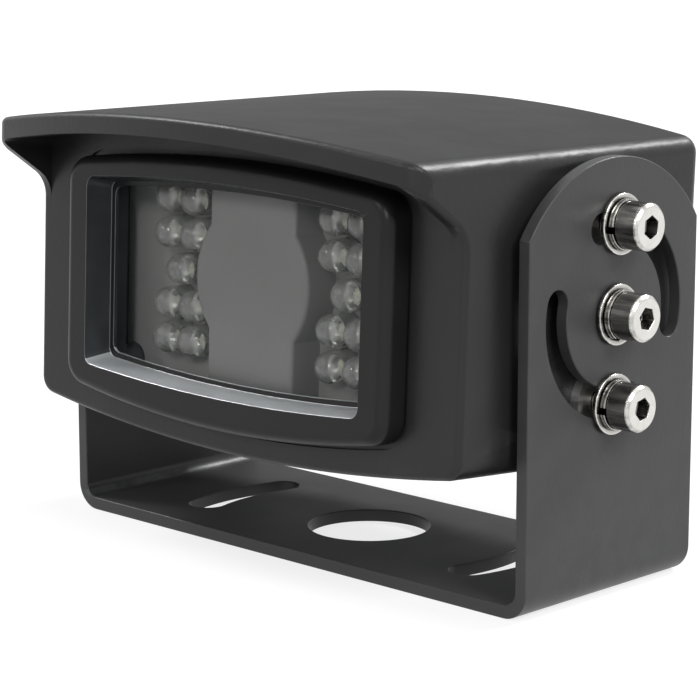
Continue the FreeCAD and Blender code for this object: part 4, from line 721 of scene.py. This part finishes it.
# Each lamp's direction from the object, its strength on a face turned to it, and its width
# in degrees.
SUNS = (
    ("key_from_the_right", (0.76, -0.14, 0.63), 0.52, 26),
    ("rim_from_behind", (0.17, 0.70, 0.67), 0.7, 14),
    ("front_over_the_camera", (0.45, -0.8, 0.4), 0.24, 12),
    ("spark_from_the_left", (-0.25, -0.85, 0.5), 0.1, 10),
    ("sheen_from_upper_left", (-0.69, -0.18, 0.69), 0.4, 18),
)


def white_rays(tree):
    """1 for rays from the camera, off gloss and through glass, 0 for light that falls on things."""
    path = add(tree, "ShaderNodeLightPath").outputs
    seen = add(tree, "ShaderNodeMath", {0: path["Is Camera Ray"], 1: path["Is Glossy Ray"]},
               operation="ADD", use_clamp=True)
    return add(tree, "ShaderNodeMath", {0: seen.outputs[0], 1: path["Is Transmission Ray"]},
               operation="ADD", use_clamp=True).outputs[0]


def make_floor():
    """Matt white paper: the eye sees it as white, and the object's shadow stays on it."""
    mesh = bpy.data.meshes.new("studio_floor")
    corners = ((-1, -1), (1, -1), (1, 1), (-1, 1))
    mesh.from_pydata([(x * FLOOR_REACH, y * FLOOR_REACH, 0) for x, y in corners], [],
                     [(0, 1, 2, 3)])
    floor = bpy.data.objects.new("studio_floor", mesh)
    bpy.context.scene.collection.objects.link(floor)
    material, tree, shader, place = new_finish("matt_white_paper", Roughness=0.9,
                                               Specular_IOR_Level=0.1,
                                               Emission_Color=(1, 1, 1, 1))
    tree.links.new(mottled(tree, place, 40.0, "#8f8f8f", "#929292"), shader.inputs["Base Color"])
    lift = add(tree, "ShaderNodeMath", {0: white_rays(tree), 1: PAPER_LIFT}, operation="MULTIPLY")
    tree.links.new(lift.outputs[0], shader.inputs["Emission Strength"])
    mesh.materials.append(material)


def make_world():
    """Even white air round the object."""
    world = bpy.data.worlds.new("studio_air")
    bpy.context.scene.world = world
    world.use_nodes = True
    tree = world.node_tree
    tree.nodes.clear()
    strength = add(tree, "ShaderNodeMapRange", {
        "Value": white_rays(tree), "To Min": AIR_ON_THINGS, "To Max": AIR_TO_THE_EYE})
    light = add(tree, "ShaderNodeBackground", {"Color": (1, 1, 1, 1),
                                               "Strength": strength.outputs["Result"]})
    add(tree, "ShaderNodeOutputWorld", {"Surface": light.outputs["Background"]})


def make_sun(name, towards, strength, spread):
    """A far, soft lamp that shines from the given direction."""
    light = bpy.data.lights.new(name, "SUN")
    light.energy = strength * math.pi
    light.angle = math.radians(spread)
    sun = bpy.data.objects.new(name, light)
    sun.rotation_euler = Vector(towards).to_track_quat("Z", "Y").to_euler()
    bpy.context.scene.collection.objects.link(sun)


def make_camera():
    """The photograph's view: from the front right, a little above."""
    lens = bpy.data.cameras.new("photo_camera")
    lens.sensor_width = lens.sensor_height = SENSOR
    lens.lens = SENSOR / 2 / math.tan(math.radians(VIEW_ANGLE / 2)) * LONGER
    camera = bpy.data.objects.new("photo_camera", lens)
    camera.location = Vector(CAMERA_SPOT) * MM
    aim = Vector(CAMERA_AIM) * MM
    camera.rotation_euler = (aim - camera.location).to_track_quat("-Z", "Y").to_euler()
    bpy.context.scene.collection.objects.link(camera)
    bpy.context.scene.camera = camera


make_floor()
make_world()
for sun in SUNS:
    make_sun(*sun)
make_camera()
bpy.context.scene.view_settings.view_transform = "Standard"
